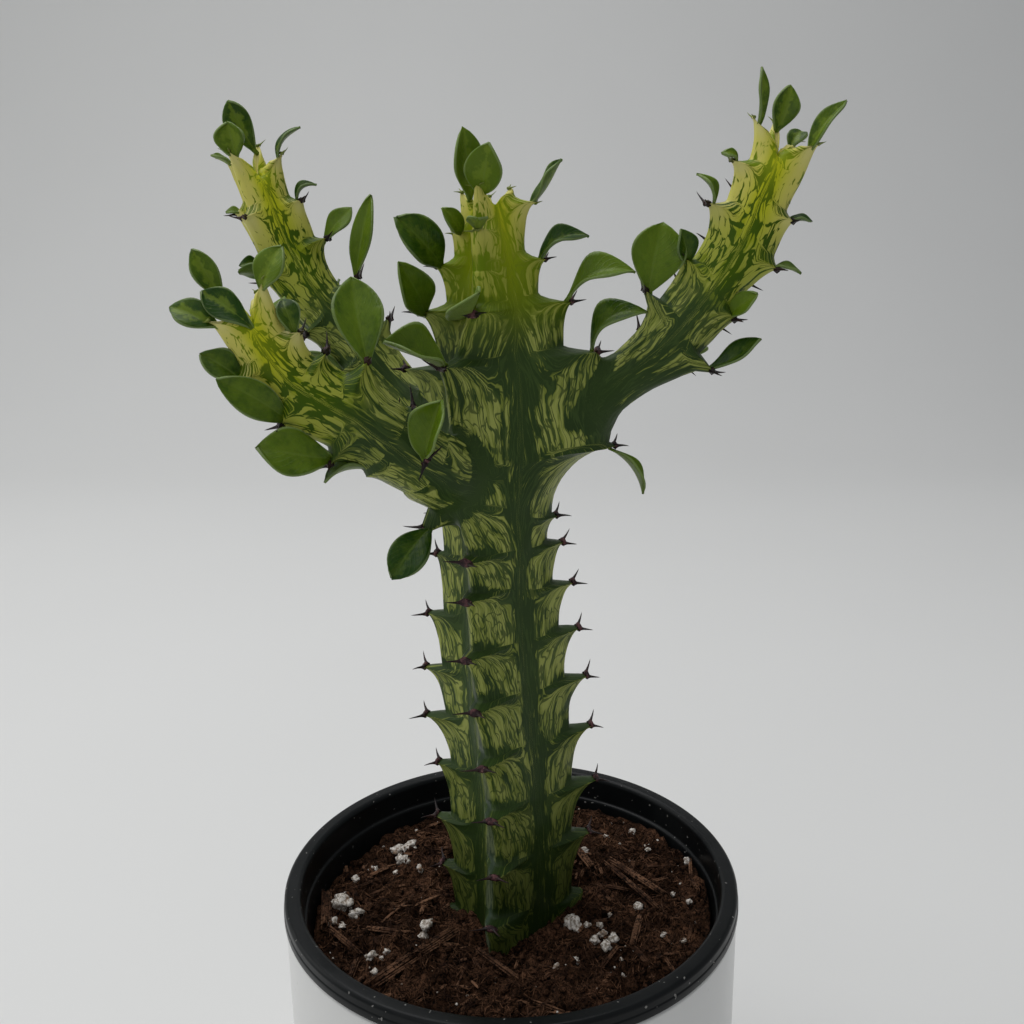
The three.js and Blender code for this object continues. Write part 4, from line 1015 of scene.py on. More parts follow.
def skin_vertex(stem, row, column):
    """Place along, angle, reach, cap share, groove share, half the groove's width and the rib's number."""
    cell, part, share = row
    gap, across = column
    ribs = stem["ribs"]
    cap = share if part in ("foot", "cap") else 1.0
    left = rib_at(ribs[gap], cell, part, share)
    if across is None:
        return left[0], left[1], left[2] + RIB_ROUNDING * cap, cap, 0.0, 0.0, gap
    right = rib_at(ribs[(gap + 1) % len(ribs)], cell, part, share)
    turn = (right[1] - left[1] + 720) % 360
    thickness = RIB_HALF_THICKNESS * (1 - HORN_TAPER * end_share(stem, *row))
    trim_left = math.degrees(math.atan(thickness / left[2]))
    trim_right = math.degrees(math.atan(thickness / right[2]))
    along = left[0] + (right[0] - left[0]) * float(smoothstep(across, 0.1, 0.9))
    is_left = across < 0.5
    near = left if is_left else right
    groove = 1 - abs(across * 2 - 1)
    core = np.interp(along, *np.array(stem["core"]).T)
    age = float(smoothstep(stem["axis"].length - along, *TOOTH_AGES))
    tooth_power = TOOTH_POWER[0] + (TOOTH_POWER[1] - TOOTH_POWER[0]) * age
    reach = core + (near[3] - core) * (1 - groove) ** GROOVE_POWER
    reach += (near[2] - near[3]) * (1 - groove) ** tooth_power
    angle = left[1] + trim_left + (turn - trim_left - trim_right) * across
    half_width = math.radians(turn / 2) * (core + near[3]) / 2 * (1 if is_left else -1)
    return along, angle, reach, cap, groove, half_width, gap if is_left else (gap + 1) % len(ribs)


def crown_sink(stem, cell, part, share, groove):
    """How far the grooves lie below the teeth near a stem's growing tip."""
    if part == "cap":
        return CROWN_DEPTH * max(groove ** CROWN_POWER, 1 - share)
    return CROWN_DEPTH * groove ** CROWN_POWER * end_share(stem, cell, part, share)

# %% [markdown]
# The skin's marbling follows how it grew. Pale streaks rise from low in the groove and lean out
# to a tooth's tip, like a plume, and the skin between two plumes stays dark; under each shelf and
# at each notch that dark is partly painted shade. Two formulas in the groove's share and the share
# climbed give the streak that a point lies on, and how pale it may be. They go into the mesh as
# attributes, and the material only adds the noise.

# %% Lie of the streaks
STREAK_FLARE = 0.93  # 0 would keep the streaks along the stem
FLARE_EDGE = (0.36, 0.74)  # the flare fades out between these shares of the groove
PLUME_EDGE = (0.56, 0.86)  # the plume fades out between these streaks
WEDGE_RISE = (0.55, 0.8)  # the wedge comes in between these shares climbed
WEDGE_MIDDLE = (0.34, 1.7)  # its groove share at a tooth's level, and what each share below adds
WEDGE_HALF_WIDTH = 0.11
WEDGE_STRENGTH = (0.15, 0.6)  # on the front rib and on the others
NOTCH_SIZE = (0.38, 0.15)  # of the dark patch: half its width in the groove and its share climbed
NOTCH_EDGE = (0.55, 1.25)
SMOOTH_PHASE = 0.3  # stands for the share climbed where a stem has no teeth


def climbed(part, share):
    """Share climbed towards the next tooth's tip."""
    return {"climb": share, "smooth": SMOOTH_PHASE, "foot": SMOOTH_PHASE}.get(part, 1.0)


def streak_share(groove, phase):
    """The streak that a point lies on, given by where it leaves the notch's level."""
    flare = STREAK_FLARE * (1 - smoothstep(groove, *FLARE_EDGE))
    return groove / np.sqrt(1 - flare * phase ** 2)


def paleness(groove, phase, shelf, along, owner):
    """1 on a plume, 0 in the groove, at the notch and on the wedge from the groove to the notch."""
    uneven = 0.06 * np.sin(0.37 * along + 2.3 * owner + 4 * groove)
    uneven += 0.04 * np.sin(0.91 * along + 1.7 * owner)
    groove = np.clip(groove + uneven * smoothstep(groove, 0.0, 0.3), 0, 1)
    plume = 1 - smoothstep(streak_share(groove, phase), *PLUME_EDGE)
    # The dark wedge under each shelf and the dark patch at each notch are partly the skin's own marbling and
    # partly painted shade under the overhanging tooth.
    wedge_middle = WEDGE_MIDDLE[0] + WEDGE_MIDDLE[1] * (1 - phase)
    beside_wedge = smoothstep(abs(groove - wedge_middle), 0.0, WEDGE_HALF_WIDTH)
    wedge = smoothstep(phase, *WEDGE_RISE) * (1 - beside_wedge)
    above_notch = np.where(shelf > 0, 0.0, phase)
    from_notch = np.hypot(groove / NOTCH_SIZE[0], above_notch / NOTCH_SIZE[1])
    notch = 1 - smoothstep(from_notch, *NOTCH_EDGE)
    return plume * (1 - np.where(owner == 0, *WEDGE_STRENGTH) * wedge) * (1 - notch)

# %% A stem's skin
YOUNG_STRETCH = {"trunk": (36, -6), "right_arm": (50, 6), "back_arm": (52, 8), "front_arm": (42, 4)}
FRESH_STRETCH = {"trunk": (34, 8), "right_arm": (20, 4), "back_arm": (24, 6), "front_arm": (20, 4)}
OPEN_STRETCH = (62, 36)  # where the groove, too, turns half pale
LEADER_STRETCH = (50, 34)  # where the leader's streaks grow faint
PLAIN_UNDERSIDE = {"right_arm": (34, 50)}  # dark on its lower ribs up to here
WOBBLES = ((0.16, 0.24), (0.6, 0.07))  # scale and height in mm of the skin's unevenness
STREAKS_APART = (20.0, 4)  # from stem to stem and from rib to rib, in the streaks' own noise


def growth(stem, along, stretch):
    """0 below a stretch of the stem and 1 above it. A stretch is two distances below the stem's top."""
    length = stem["axis"].length
    return smoothstep(along, length - stretch[0], length - stretch[1])


def skin_layers(name, stem, rows, along, groove, half_width, owner):
    """What the material has to know about each point of the grid."""
    is_trunk = name == "trunk"
    phase = np.array([[climbed(part, share)] for _, part, share in rows])
    shelf = np.array([[1.0 if part == "shelf" and share > 0 else 0.0] for _, part, share in rows])
    youth = growth(stem, along, YOUNG_STRETCH[name])
    pale = paleness(groove, phase, shelf, along, owner)
    if name in PLAIN_UNDERSIDE:
        pale = pale * np.where(owner == 0, 1.0, smoothstep(along, *PLAIN_UNDERSIDE[name]))
    open_groove = 0.5 * growth(stem, along, OPEN_STRETCH) * (0.5 if is_trunk else 1)
    pale = np.maximum(pale, open_groove * (1 - shelf * (1 - smoothstep(groove, 0.3, 0.5))))
    cream = smoothstep(phase, 0.45, 0.95) * (1 - smoothstep(groove, 0.06, 0.30))
    if is_trunk:
        cream = cream * np.where(owner == 0, 0.15, 0.6)
        pale = pale * (1 - 0.35 * growth(stem, along, LEADER_STRETCH))
    which = STREAKS_APART[0] * list(STEMS).index(name) + STREAKS_APART[1] * owner
    beside_rib = np.sign(half_width) * RIB_HALF_THICKNESS + streak_share(groove, phase) * half_width
    return {
        "flow": np.stack([beside_rib, along, which], -1), "zones": np.stack([pale, groove, youth], -1),
        "cream": cream, "fresh": growth(stem, along, FRESH_STRETCH[name]), "original": np.ones_like(cream),
    }

# %% [markdown]
# With rows, columns and layers at hand, a skin is one grid whose vertices are put in their places.
# Its two ends draw in to a point, and its long sides meet, so the skin is closed.

# %% The four skins
def make_skin(name, stem):
    """The stem's closed skin, with its layers as attributes."""
    rows, columns = skin_rows(stem), skin_columns(stem)
    table = np.array([[skin_vertex(stem, row, column) for column in columns] for row in rows], float)
    along, angle, reach, cap, groove, half_width, owner = np.moveaxis(table, -1, 0)
    sink = np.array([[crown_sink(stem, *row, g) for g in line] for row, line in zip(rows, groove)])
    middle = along[:, ::len(columns) // 4][:, :4].mean(axis=1, keepdims=True)
    along = middle + (along - middle) * cap
    places = stem["axis"].point(along - sink, angle, reach * cap)

    bm = bmesh.new()
    bmesh.ops.create_grid(bm, x_segments=len(columns) - 1, y_segments=len(rows) - 1, size=1)
    for vert, place in zip(bm.verts, places.reshape(-1, 3)):
        vert.co = point = Vector(place)
        for scale, height in WOBBLES:
            vert.co += noise.noise_vector(point * scale) * height
    for key, values in skin_layers(name, stem, rows, along, groove, half_width, owner).items():
        is_vector = values.ndim == 3
        kinds = bm.verts.layers.float_vector if is_vector else bm.verts.layers.float
        layer = kinds.new(key)
        for vert, value in zip(bm.verts, values.reshape(-1, 3) if is_vector else values.reshape(-1)):
            vert[layer] = Vector(value) if is_vector else value
    bmesh.ops.remove_doubles(bm, verts=bm.verts, dist=0.01)
    print(name, len(bm.faces), "faces, open edges:", sum(e.is_boundary for e in bm.edges))
    return to_object("skin_" + name, bm)


skins = {name: make_skin(name, stem) for name, stem in STEMS.items()}

# %% [markdown]
# The arms grow out of the trunk, so the four skins become one body by a boolean union. The union
# leaves a hard crease where an arm comes out, and living skin has a soft web there. So each vertex
# near a crease is found by its distance to the second skin, and those are smoothed a few times.

# %% One body
trees = []
for skin in skins.values():
    corners = [v.co[:] for v in skin.data.vertices]
    trees.append(BVHTree.FromPolygons(corners, [p.vertices[:] for p in skin.data.polygons]))
stems = skins["trunk"]
for name in ARMS:
    join = stems.modifiers.new(name, "BOOLEAN")
    join.operation, join.object, join.solver = "UNION", skins[name], "MANIFOLD"
apply_modifiers(stems)
for name in ARMS:
    bpy.data.objects.remove(skins[name])
stems.name = "euphorbia_stems"
print("joined:", len(stems.data.polygons), "faces", [a.name for a in stems.data.attributes])

# %% Soft webs
WEB_REACH = (0.4, 5.0)  # mm from the second skin between which the web fades out
WEB_FOOT = 0.19  # metres; no stems meet below this height
WEB_HEART = 0.75  # vertices this deep in a web are thinned before it is smoothed
WEB_ROUNDS = ((0.85, 6), (0.6, 6), (0.35, 5), (0.15, 3))  # depth in the web, and smoothings from there

bm = bmesh.new()
bm.from_mesh(stems.data)
web = bm.verts.layers.float.new("web")
original = bm.verts.layers.float["original"]
LAYERS = [bm.verts.layers.float_vector["flow"], bm.verts.layers.float_vector["zones"],
          bm.verts.layers.float["cream"], bm.verts.layers.float["fresh"], web]


def second_distance(place):
    """Distance in mm to the second nearest of the four skins."""
    return sorted(tree.find_nearest(place)[3] for tree in trees)[1] / MM


def take_from_neighbours(vert):
    """Gives a new vertex on a crease the mean of what its known neighbours hold."""
    known = [e.other_vert(vert) for e in vert.link_edges if e.other_vert(vert)[original] > 0.5]
    if known:
        for layer in LAYERS:
            total = known[0][layer] * 1.0
            for other in known[1:]:
                total = total + other[layer]
            vert[layer] = total / len(known)
        vert[original] = 1.0


for vert in bm.verts:
    is_low = vert.co.z < WEB_FOOT
    vert[web] = 0.0 if is_low else float(1 - smoothstep(second_distance(vert.co), *WEB_REACH))
near = [v for v in bm.verts if v[web] > WEB_HEART]
bmesh.ops.remove_doubles(bm, verts=near, dist=0.2 * MM)
for i in range(3):
    for vert in bm.verts:
        if vert[original] < 0.99:
            take_from_neighbours(vert)
for depth, rounds in WEB_ROUNDS:
    soft = [v for v in bm.verts if v[web] > depth]
    for i in range(rounds):
        bmesh.ops.smooth_vert(bm, verts=soft, factor=0.5, use_axis_x=True, use_axis_y=True, use_axis_z=True)
bm.to_mesh(stems.data)
print("softened", len(near), "vertices; open edges:", sum(e.is_boundary for e in bm.edges))
bm.free()
stems.data.shade_smooth()

# %% [markdown]
# ### The marbled skin
#
# Dark green lies under yellow-green streaks. The streaks are noise stretched along their lie, cut
# off at a level that drops where the skin may be pale, and thin dark lines run between them.
# Towards the growing tips the greens turn fresh and the undersides of the teeth cream.

# %% What the skin's mesh says
SWAY = 2.0  # how far the streaks swing to the sides, in the noise's own units


def read_skin(nodes):
    """What the mesh says about a point, and the noises that run along its streaks."""
    at = SimpleNamespace(flow=nodes.attribute("flow", "Vector"))
    at.beside, at.along, at.which = nodes.split(at.flow)
    at.pale, at.groove, at.youth = nodes.split(nodes.attribute("zones", "Vector"))
    at.web = nodes.step(nodes.attribute("web"), 0.62, 0.95)
    at.cream, at.fresh = nodes.attribute("cream"), nodes.attribute("fresh")
    at.plain = nodes.times(at.cream, nodes.step(at.youth, 0.35, 0.9))
    at.swing = nodes.times(nodes.noise(nodes.stretch(at.flow, (0.16, 0.14, 1.0)), 1.0, 1.5, 0.6), SWAY)
    sway = nodes.join(at.swing)
    at.broad = nodes.noise(nodes.stretch(at.flow, (0.95, 0.09, 1.0), sway), 1.0, 3.0, 0.62)
    at.thin = nodes.noise(nodes.stretch(at.flow, (0.85, 0.075, 1.7), sway), 1.0, 1.8, 0.55)
    at.loops = nodes.noise(nodes.stretch(at.flow, (0.42, 0.17, 2.9), sway), 1.0, 1.5, 0.5)
    at.patch = nodes.noise(nodes.stretch(at.flow, (0.14, 0.08, 1.0)), 1.0, 2.0)
    at.ridge = nodes.off_middle(at.thin)
    at.grown_level = nodes.step(at.pale, 0.0, 1.0, 0.61, 0.39)
    at.young_level = nodes.step(at.pale, 0.0, 1.0, 0.58, 0.30)
    return at

# %% [markdown]
# The grown streaks and the young ones are two patterns. Grown skin is dark with pale streaks, and
# young skin is pale inside a net of green. The skin's youth fades one into the other.

# %% Streaks
def dark_lines(nodes, at):
    """Thin dark lines where a noise crosses its middle value; broader on young skin."""
    width = nodes.step(at.groove, 0.15, 0.8, 0.023, 0.042)
    width = nodes.plus(width, nodes.step(at.youth, 0.1, 0.4, 0.0, 0.022))
    width = nodes.times(width, nodes.step(at.plain, 0.1, 0.7, 1.0, 0.0))
    line = nodes.step(nodes.minus(at.ridge, width), 0.012, -0.012)
    loop = nodes.step(nodes.minus(nodes.off_middle(at.loops), nodes.times(width, 0.7)), 0.010, -0.010)
    line = nodes.math("MAXIMUM", line, nodes.times(loop, 0.8))
    return nodes.times(line, nodes.step(at.youth, 0.82, 1.0, 0.92, 0.5))


def grown_streaks(nodes, at):
    """Pale streaks where the broad noise passes a level; also how far it passes."""
    young_share = nodes.step(at.youth, 0.05, 0.5)
    level = nodes.plus(at.grown_level, nodes.times(young_share, nodes.minus(at.young_level, at.grown_level)))
    level = nodes.plus(level, nodes.times(at.web, 0.3))
    level = nodes.plus(level, nodes.times(nodes.minus(at.patch, 0.5), 0.35))
    over = nodes.minus(at.broad, level)
    return nodes.times(nodes.step(over, -0.012, 0.035), nodes.minus(1.0, dark_lines(nodes, at))), over


def young_streaks(nodes, at):
    """A pale ground inside a net of green, which is the gaps between long uneven cells."""
    waver = nodes.join(nodes.plus(at.swing, nodes.times(at.loops, 2.2)), nodes.times(at.thin, 0.8))
    meshes = nodes.cells(nodes.stretch(at.flow, (0.80, 0.24, 1.0), waver))
    gap = nodes.step(at.groove, 0.1, 0.8, 0.04, 0.14)
    gap = nodes.plus(gap, nodes.times(nodes.minus(0.5, at.broad), 0.8))
    gap = nodes.minus(gap, nodes.step(at.youth, 0.45, 0.95, 0.0, 0.06))
    gap = nodes.minus(gap, nodes.times(at.plain, 0.1))
    ground = nodes.step(nodes.minus(meshes, gap), -0.02, 0.05)
    return nodes.times(ground, nodes.step(nodes.minus(at.broad, at.young_level), -0.08, 0.0))

# %% [markdown]
# Then come the tones: one function for the green under the streaks, one for the streaks, and one
# for a painted grey reflection band on the front rib. The foot of the trunk gets painted shade, as
# it lies in the pot's shade.

# %% Tones of the skin
def deep_tone(nodes, at):
    """The green under the streaks: nearly black on the trunk, fresh at the growing tips."""
    tone = nodes.noise(nodes.place(), 55.0, 2.0)
    grown = nodes.mix(tone, (0.016, 0.036, 0.008), (0.042, 0.074, 0.018))
    faint = nodes.times(nodes.step(at.ridge, 0.05, 0.01), 0.5)
    grown = nodes.mix(faint, grown, (0.060, 0.100, 0.024))
    half_grown = nodes.mix(at.groove, (0.036, 0.078, 0.001), (0.055, 0.105, 0.001))
    fresh = nodes.mix(at.groove, (0.16, 0.24, 0.004), (0.27, 0.33, 0.005))
    return nodes.mix(at.fresh, nodes.mix(nodes.step(at.youth, 0.0, 0.4), grown, half_grown), fresh)


def pale_tone(nodes, at, over):
    """The streaks: yellow-green, brighter in their middle, and cream near the growing tips."""
    pale = nodes.mix(nodes.step(over, 0.0, 0.20), (0.170, 0.210, 0.034), (0.34, 0.375, 0.095))
    # Painted shade: the streaks darken towards the trunk's foot, which lies in the pot's shade.
    pale = nodes.mix(nodes.step(nodes.height(), 0.085, 0.160, 0.45, 0.0), pale, (0.05, 0.08, 0.014))
    half_young = nodes.mix(nodes.step(over, 0.0, 0.15), (0.17, 0.23, 0.006), (0.34, 0.37, 0.050))
    young = nodes.mix(nodes.step(at.groove, 0.1, 0.8), (0.62, 0.58, 0.13), (0.48, 0.50, 0.012))
    young = nodes.mix(nodes.times(at.cream, 0.7), young, (0.70, 0.65, 0.27))
    pale = nodes.mix(nodes.step(at.youth, 0.0, 0.35), pale, half_young)
    return nodes.mix(nodes.step(at.youth, 0.45, 1.0), pale, young)


def painted_front_reflection(nodes, at):
    """A painted grey reflection band on the front rib's left side, up to where the arms start."""
    band = nodes.times(nodes.step(at.beside, -6.0, -4.2), nodes.step(at.beside, -0.5, -1.5))
    return nodes.times(band, nodes.times(nodes.step(at.which, 1.0, 0.4), nodes.step(at.along, 128.0, 112.0)))

# %% The marbled skin
marbled, nodes = new_material(
    "marbled_skin", Specular_IOR_Level=0.12, Subsurface_Weight=0.05,
    Subsurface_Radius=(0.0012, 0.0018, 0.0006), Subsurface_Scale=1.0,
)
at = read_skin(nodes)
streak, over = grown_streaks(nodes, at)
streak = nodes.step(nodes.step(at.youth, 0.03, 0.3), 0.0, 1.0, streak, young_streaks(nodes, at))
skin = nodes.mix(streak, deep_tone(nodes, at), pale_tone(nodes, at, over))
# Painted shade: the whole skin darkens towards the trunk's foot, in the pot's shade.
shade = nodes.step(nodes.height(), 0.086, 0.135, 0.8, 0.0)
skin = nodes.mix(shade, skin, nodes.mix(streak, (0.006, 0.014, 0.002), (0.040, 0.055, 0.009)))
# Painted reflection: a grey band on the front rib's left flank, laid into the skin's colour.
painted_reflection = nodes.mix(streak, (0.036, 0.056, 0.036), (0.105, 0.130, 0.085))
skin = nodes.mix(nodes.times(painted_front_reflection(nodes, at), 0.75), skin, painted_reflection)
waxy = nodes.noise(nodes.place(), 240.0, 3.0, 0.6)
relief = nodes.plus(nodes.times(streak, 0.5), waxy)
satin = nodes.step(waxy, 0.3, 0.7, 0.32, 0.48)
nodes.dress(Base_Color=skin, Roughness=satin, Normal=nodes.bump(relief, 0.28, 0.00025))
stems.data.materials.clear()
stems.data.materials.append(marbled)
hand_in(stems, "euphorbia", "euphorbia")

# %% [markdown]
# ## Spines
#
# Every tooth ends in a small horny shield, brown to purple, and the shield draws out into two
# dark spines that spread to the sides. The shield is a flattened ball pinched to a kite, and a
# spine is a circle extruded in steps that narrow fast at first. Young ones are smaller and green.

# %% Where the spines are
SPINE_LENGTH = 4.6
SPINE_SPREAD = 62  # degrees from the rib's plane to each of the pair
SPINE_SCATTER = 14
NEAR_SPINE_LIFT = 0.1  # how much a spine leans along the stem
FAR_SPINE_LIFT = 0.5
SPINE_STRETCH = (25, 0)  # spines get smaller up this stretch of a stem
YOUNG_TOP = 10  # every tooth of this last stretch has its spines
BURIED_REACH = 3
LEAST_TOOTH = 0.9
LONE_PADS = [("front_arm", 26, 16, 8.6)]  # a pad between the ribs: stem, place along, angle, reach


def place_on(stem, along, angle, reach):
    """Place, outward, forward and across directions of a point on a stem."""
    axis, at, turned = stem["axis"], np.array([along]), np.array([angle])
    place = Vector(axis.point(at, turned, np.array([reach]))[0])
    outward = Vector(axis.outward(at, turned)[0])
    forward = Vector(axis.frame(at)[1][0])
    return place, outward, forward, forward.cross(outward)


def spiny_places(name, stem):
    """(along, angle, reach) of every place that carries a shield and its two spines."""
    places = []
    for teeth in stem["ribs"]:
        for along, angle, reach, notch in teeth[1:]:
            tip = place_on(stem, along, angle, reach)[0]
            is_buried = tip.z < RIM_HEIGHT - SOIL_DROP + BURIED_REACH
            is_smooth = reach - notch < LEAST_TOOTH and along < stem["axis"].length - YOUNG_TOP
            if not (is_buried or is_smooth):
                places.append((along, angle, reach))
    return places + [tuple(place) for owner, *place in LONE_PADS if owner == name]

# %% One spine, one shield
SPINE_TAPER = ((0, 1), (0.10, 0.62), (0.24, 0.38), (0.5, 0.24), (0.8, 0.13), (1, 0.0))
SPINE_SIDES = 6
SHIELD_SPREAD = 1.85  # of the shield's half, across the rib
SHIELD_RISE = (1.15, 0.9)  # of its upper and of its lower half
SHIELD_DEPTH = 0.65
SHIELD_PINCH = 0.62  # how much of its rise is gone at its two sides
SHIELD_ROUGHNESS = 0.16


def add_spine(bm, root, tip, radius, bend):
    """A thorn: a circle extruded towards its tip, which narrows fast and then slowly."""
    line = tip - root
    turn = line.to_track_quat("Z", "Y").to_matrix()
    ring = bmesh.ops.create_circle(bm, cap_ends=True, segments=SPINE_SIDES, radius=1)["verts"]
    flat = [v.co.copy() for v in ring]
    edges = list({e for v in ring for e in v.link_edges if len(e.link_faces) < 2})
    for i, (share, part) in enumerate(SPINE_TAPER):
        if i:
            ring, edges = extrude(bm, edges)
        middle = root + line * share + bend * (share * (1 - share))
        for v, corner in zip(ring, flat):
            v.co = middle + turn @ (corner * radius * part)
    bmesh.ops.pointmerge(bm, verts=ring, merge_co=tip)


def add_shield(bm, centre, outward, forward, across, size):
    """A kite-shaped horny pad that wraps the tooth's tip."""
    turn = Matrix((across, forward, outward)).transposed()
    for v in bmesh.ops.create_icosphere(bm, subdivisions=2, radius=1)["verts"]:
        x, y, z = v.co
        pinch = 1 - SHIELD_PINCH * abs(x) ** 1.3
        rise = SHIELD_RISE[0] if y > 0 else SHIELD_RISE[1]
        rough = 1 + SHIELD_ROUGHNESS * noise.noise(v.co * 2.3 + centre)
        corner = Vector((SHIELD_SPREAD * x, rise * y * pinch, SHIELD_DEPTH * z))
        v.co = centre + turn @ corner * size * rough

# %% Spines and shields
ARM_SHIELD = 0.75  # size of an arm's shields, beside the trunk's

draw, shape_draw = Draw(8198), Draw(77)
spines, shields = Pile("youth"), Pile("youth")
for name, stem in STEMS.items():
    for along, angle, reach in spiny_places(name, stem):
        tip, outward, forward, across = place_on(stem, along, angle, reach)
        youth = float(growth(stem, along, SPINE_STRETCH))
        shrink = 1 - 0.5 * youth
        for hand in (-1, 1):
            spread = hand * (SPINE_SPREAD + SPINE_SCATTER * (draw() - 0.5))
            aim = place_on(stem, along, angle + spread, reach)[1]
            aim = (aim + forward * (FAR_SPINE_LIFT if aim.y > 0 else NEAR_SPINE_LIFT)).normalized()
            length = (SPINE_LENGTH + draw() - 0.5) * shrink
            root = tip + (across * hand * 0.75 - outward * 0.3) * shrink
            bend = forward * shape_draw(-0.4, 0.7) + outward * 0.7
            add_spine(spines.next(), root, tip + aim * length, 0.85 * shrink, bend)
            spines.stamp(youth)
        size = (1 - 0.6 * youth) * shape_draw(0.85, 1.1) * (1 if name == "trunk" else ARM_SHIELD)
        add_shield(shields.next(), tip - outward * 0.2, outward, forward, across, size)
        shields.stamp(youth)
print("spiny places:", shields.count)

horn, nodes = new_material("dark_horn", Roughness=0.45, Specular_IOR_Level=0.25)
fleck = nodes.noise(nodes.place(), 1300.0, 2.0)
brown = nodes.mottle(nodes.place(), 260.0, (0.35, 0.7), (0.008, 0.005, 0.005), (0.030, 0.012, 0.011))[0]
brown = nodes.mix(nodes.step(fleck, 0.62, 0.8), brown, (0.08, 0.045, 0.035))
brown = nodes.mix(nodes.step(nodes.attribute("youth"), 1.45, 1.9), brown, (0.20, 0.24, 0.05))
nodes.dress(Base_Color=brown, Normal=nodes.bump(fleck, 0.3, 0.0002))
spine_piece = to_object("euphorbia_spines", spines.finish(), horn)
hand_in(spine_piece, "euphorbia", "euphorbia")

pad, nodes = new_material("spine_shield", Roughness=0.6, Specular_IOR_Level=0.25)
purple, mask = nodes.mottle(nodes.place(), 700.0, (0.40, 0.62), (0.020, 0.008, 0.010), (0.115, 0.045, 0.048))
pore = nodes.noise(nodes.place(), 1500.0, 2.0)
purple = nodes.mix(nodes.step(pore, 0.62, 0.75), purple, (0.24, 0.14, 0.12))
purple = nodes.mix(nodes.step(nodes.attribute("youth"), 1.35, 1.8), purple, (0.16, 0.22, 0.035))
nodes.dress(Base_Color=purple, Normal=nodes.bump(nodes.plus(pore, mask), 0.6, 0.0003))
shield_piece = to_object("spine_shields", shields.finish(), pad)
hand_in(shield_piece, "euphorbia", "euphorbia")

# %% [markdown]
# ## Leaves
#
# Small fleshy leaves stand above the young teeth. One leaf is a fine grid: across it runs the
# blade's half, along it the midrib. The outline, the fold along the midrib, the bend, the twist and
# a ripple in the edge are a few formulas. A Solidify modifier gives the flesh its thickness, and the
# underside its own paler material.

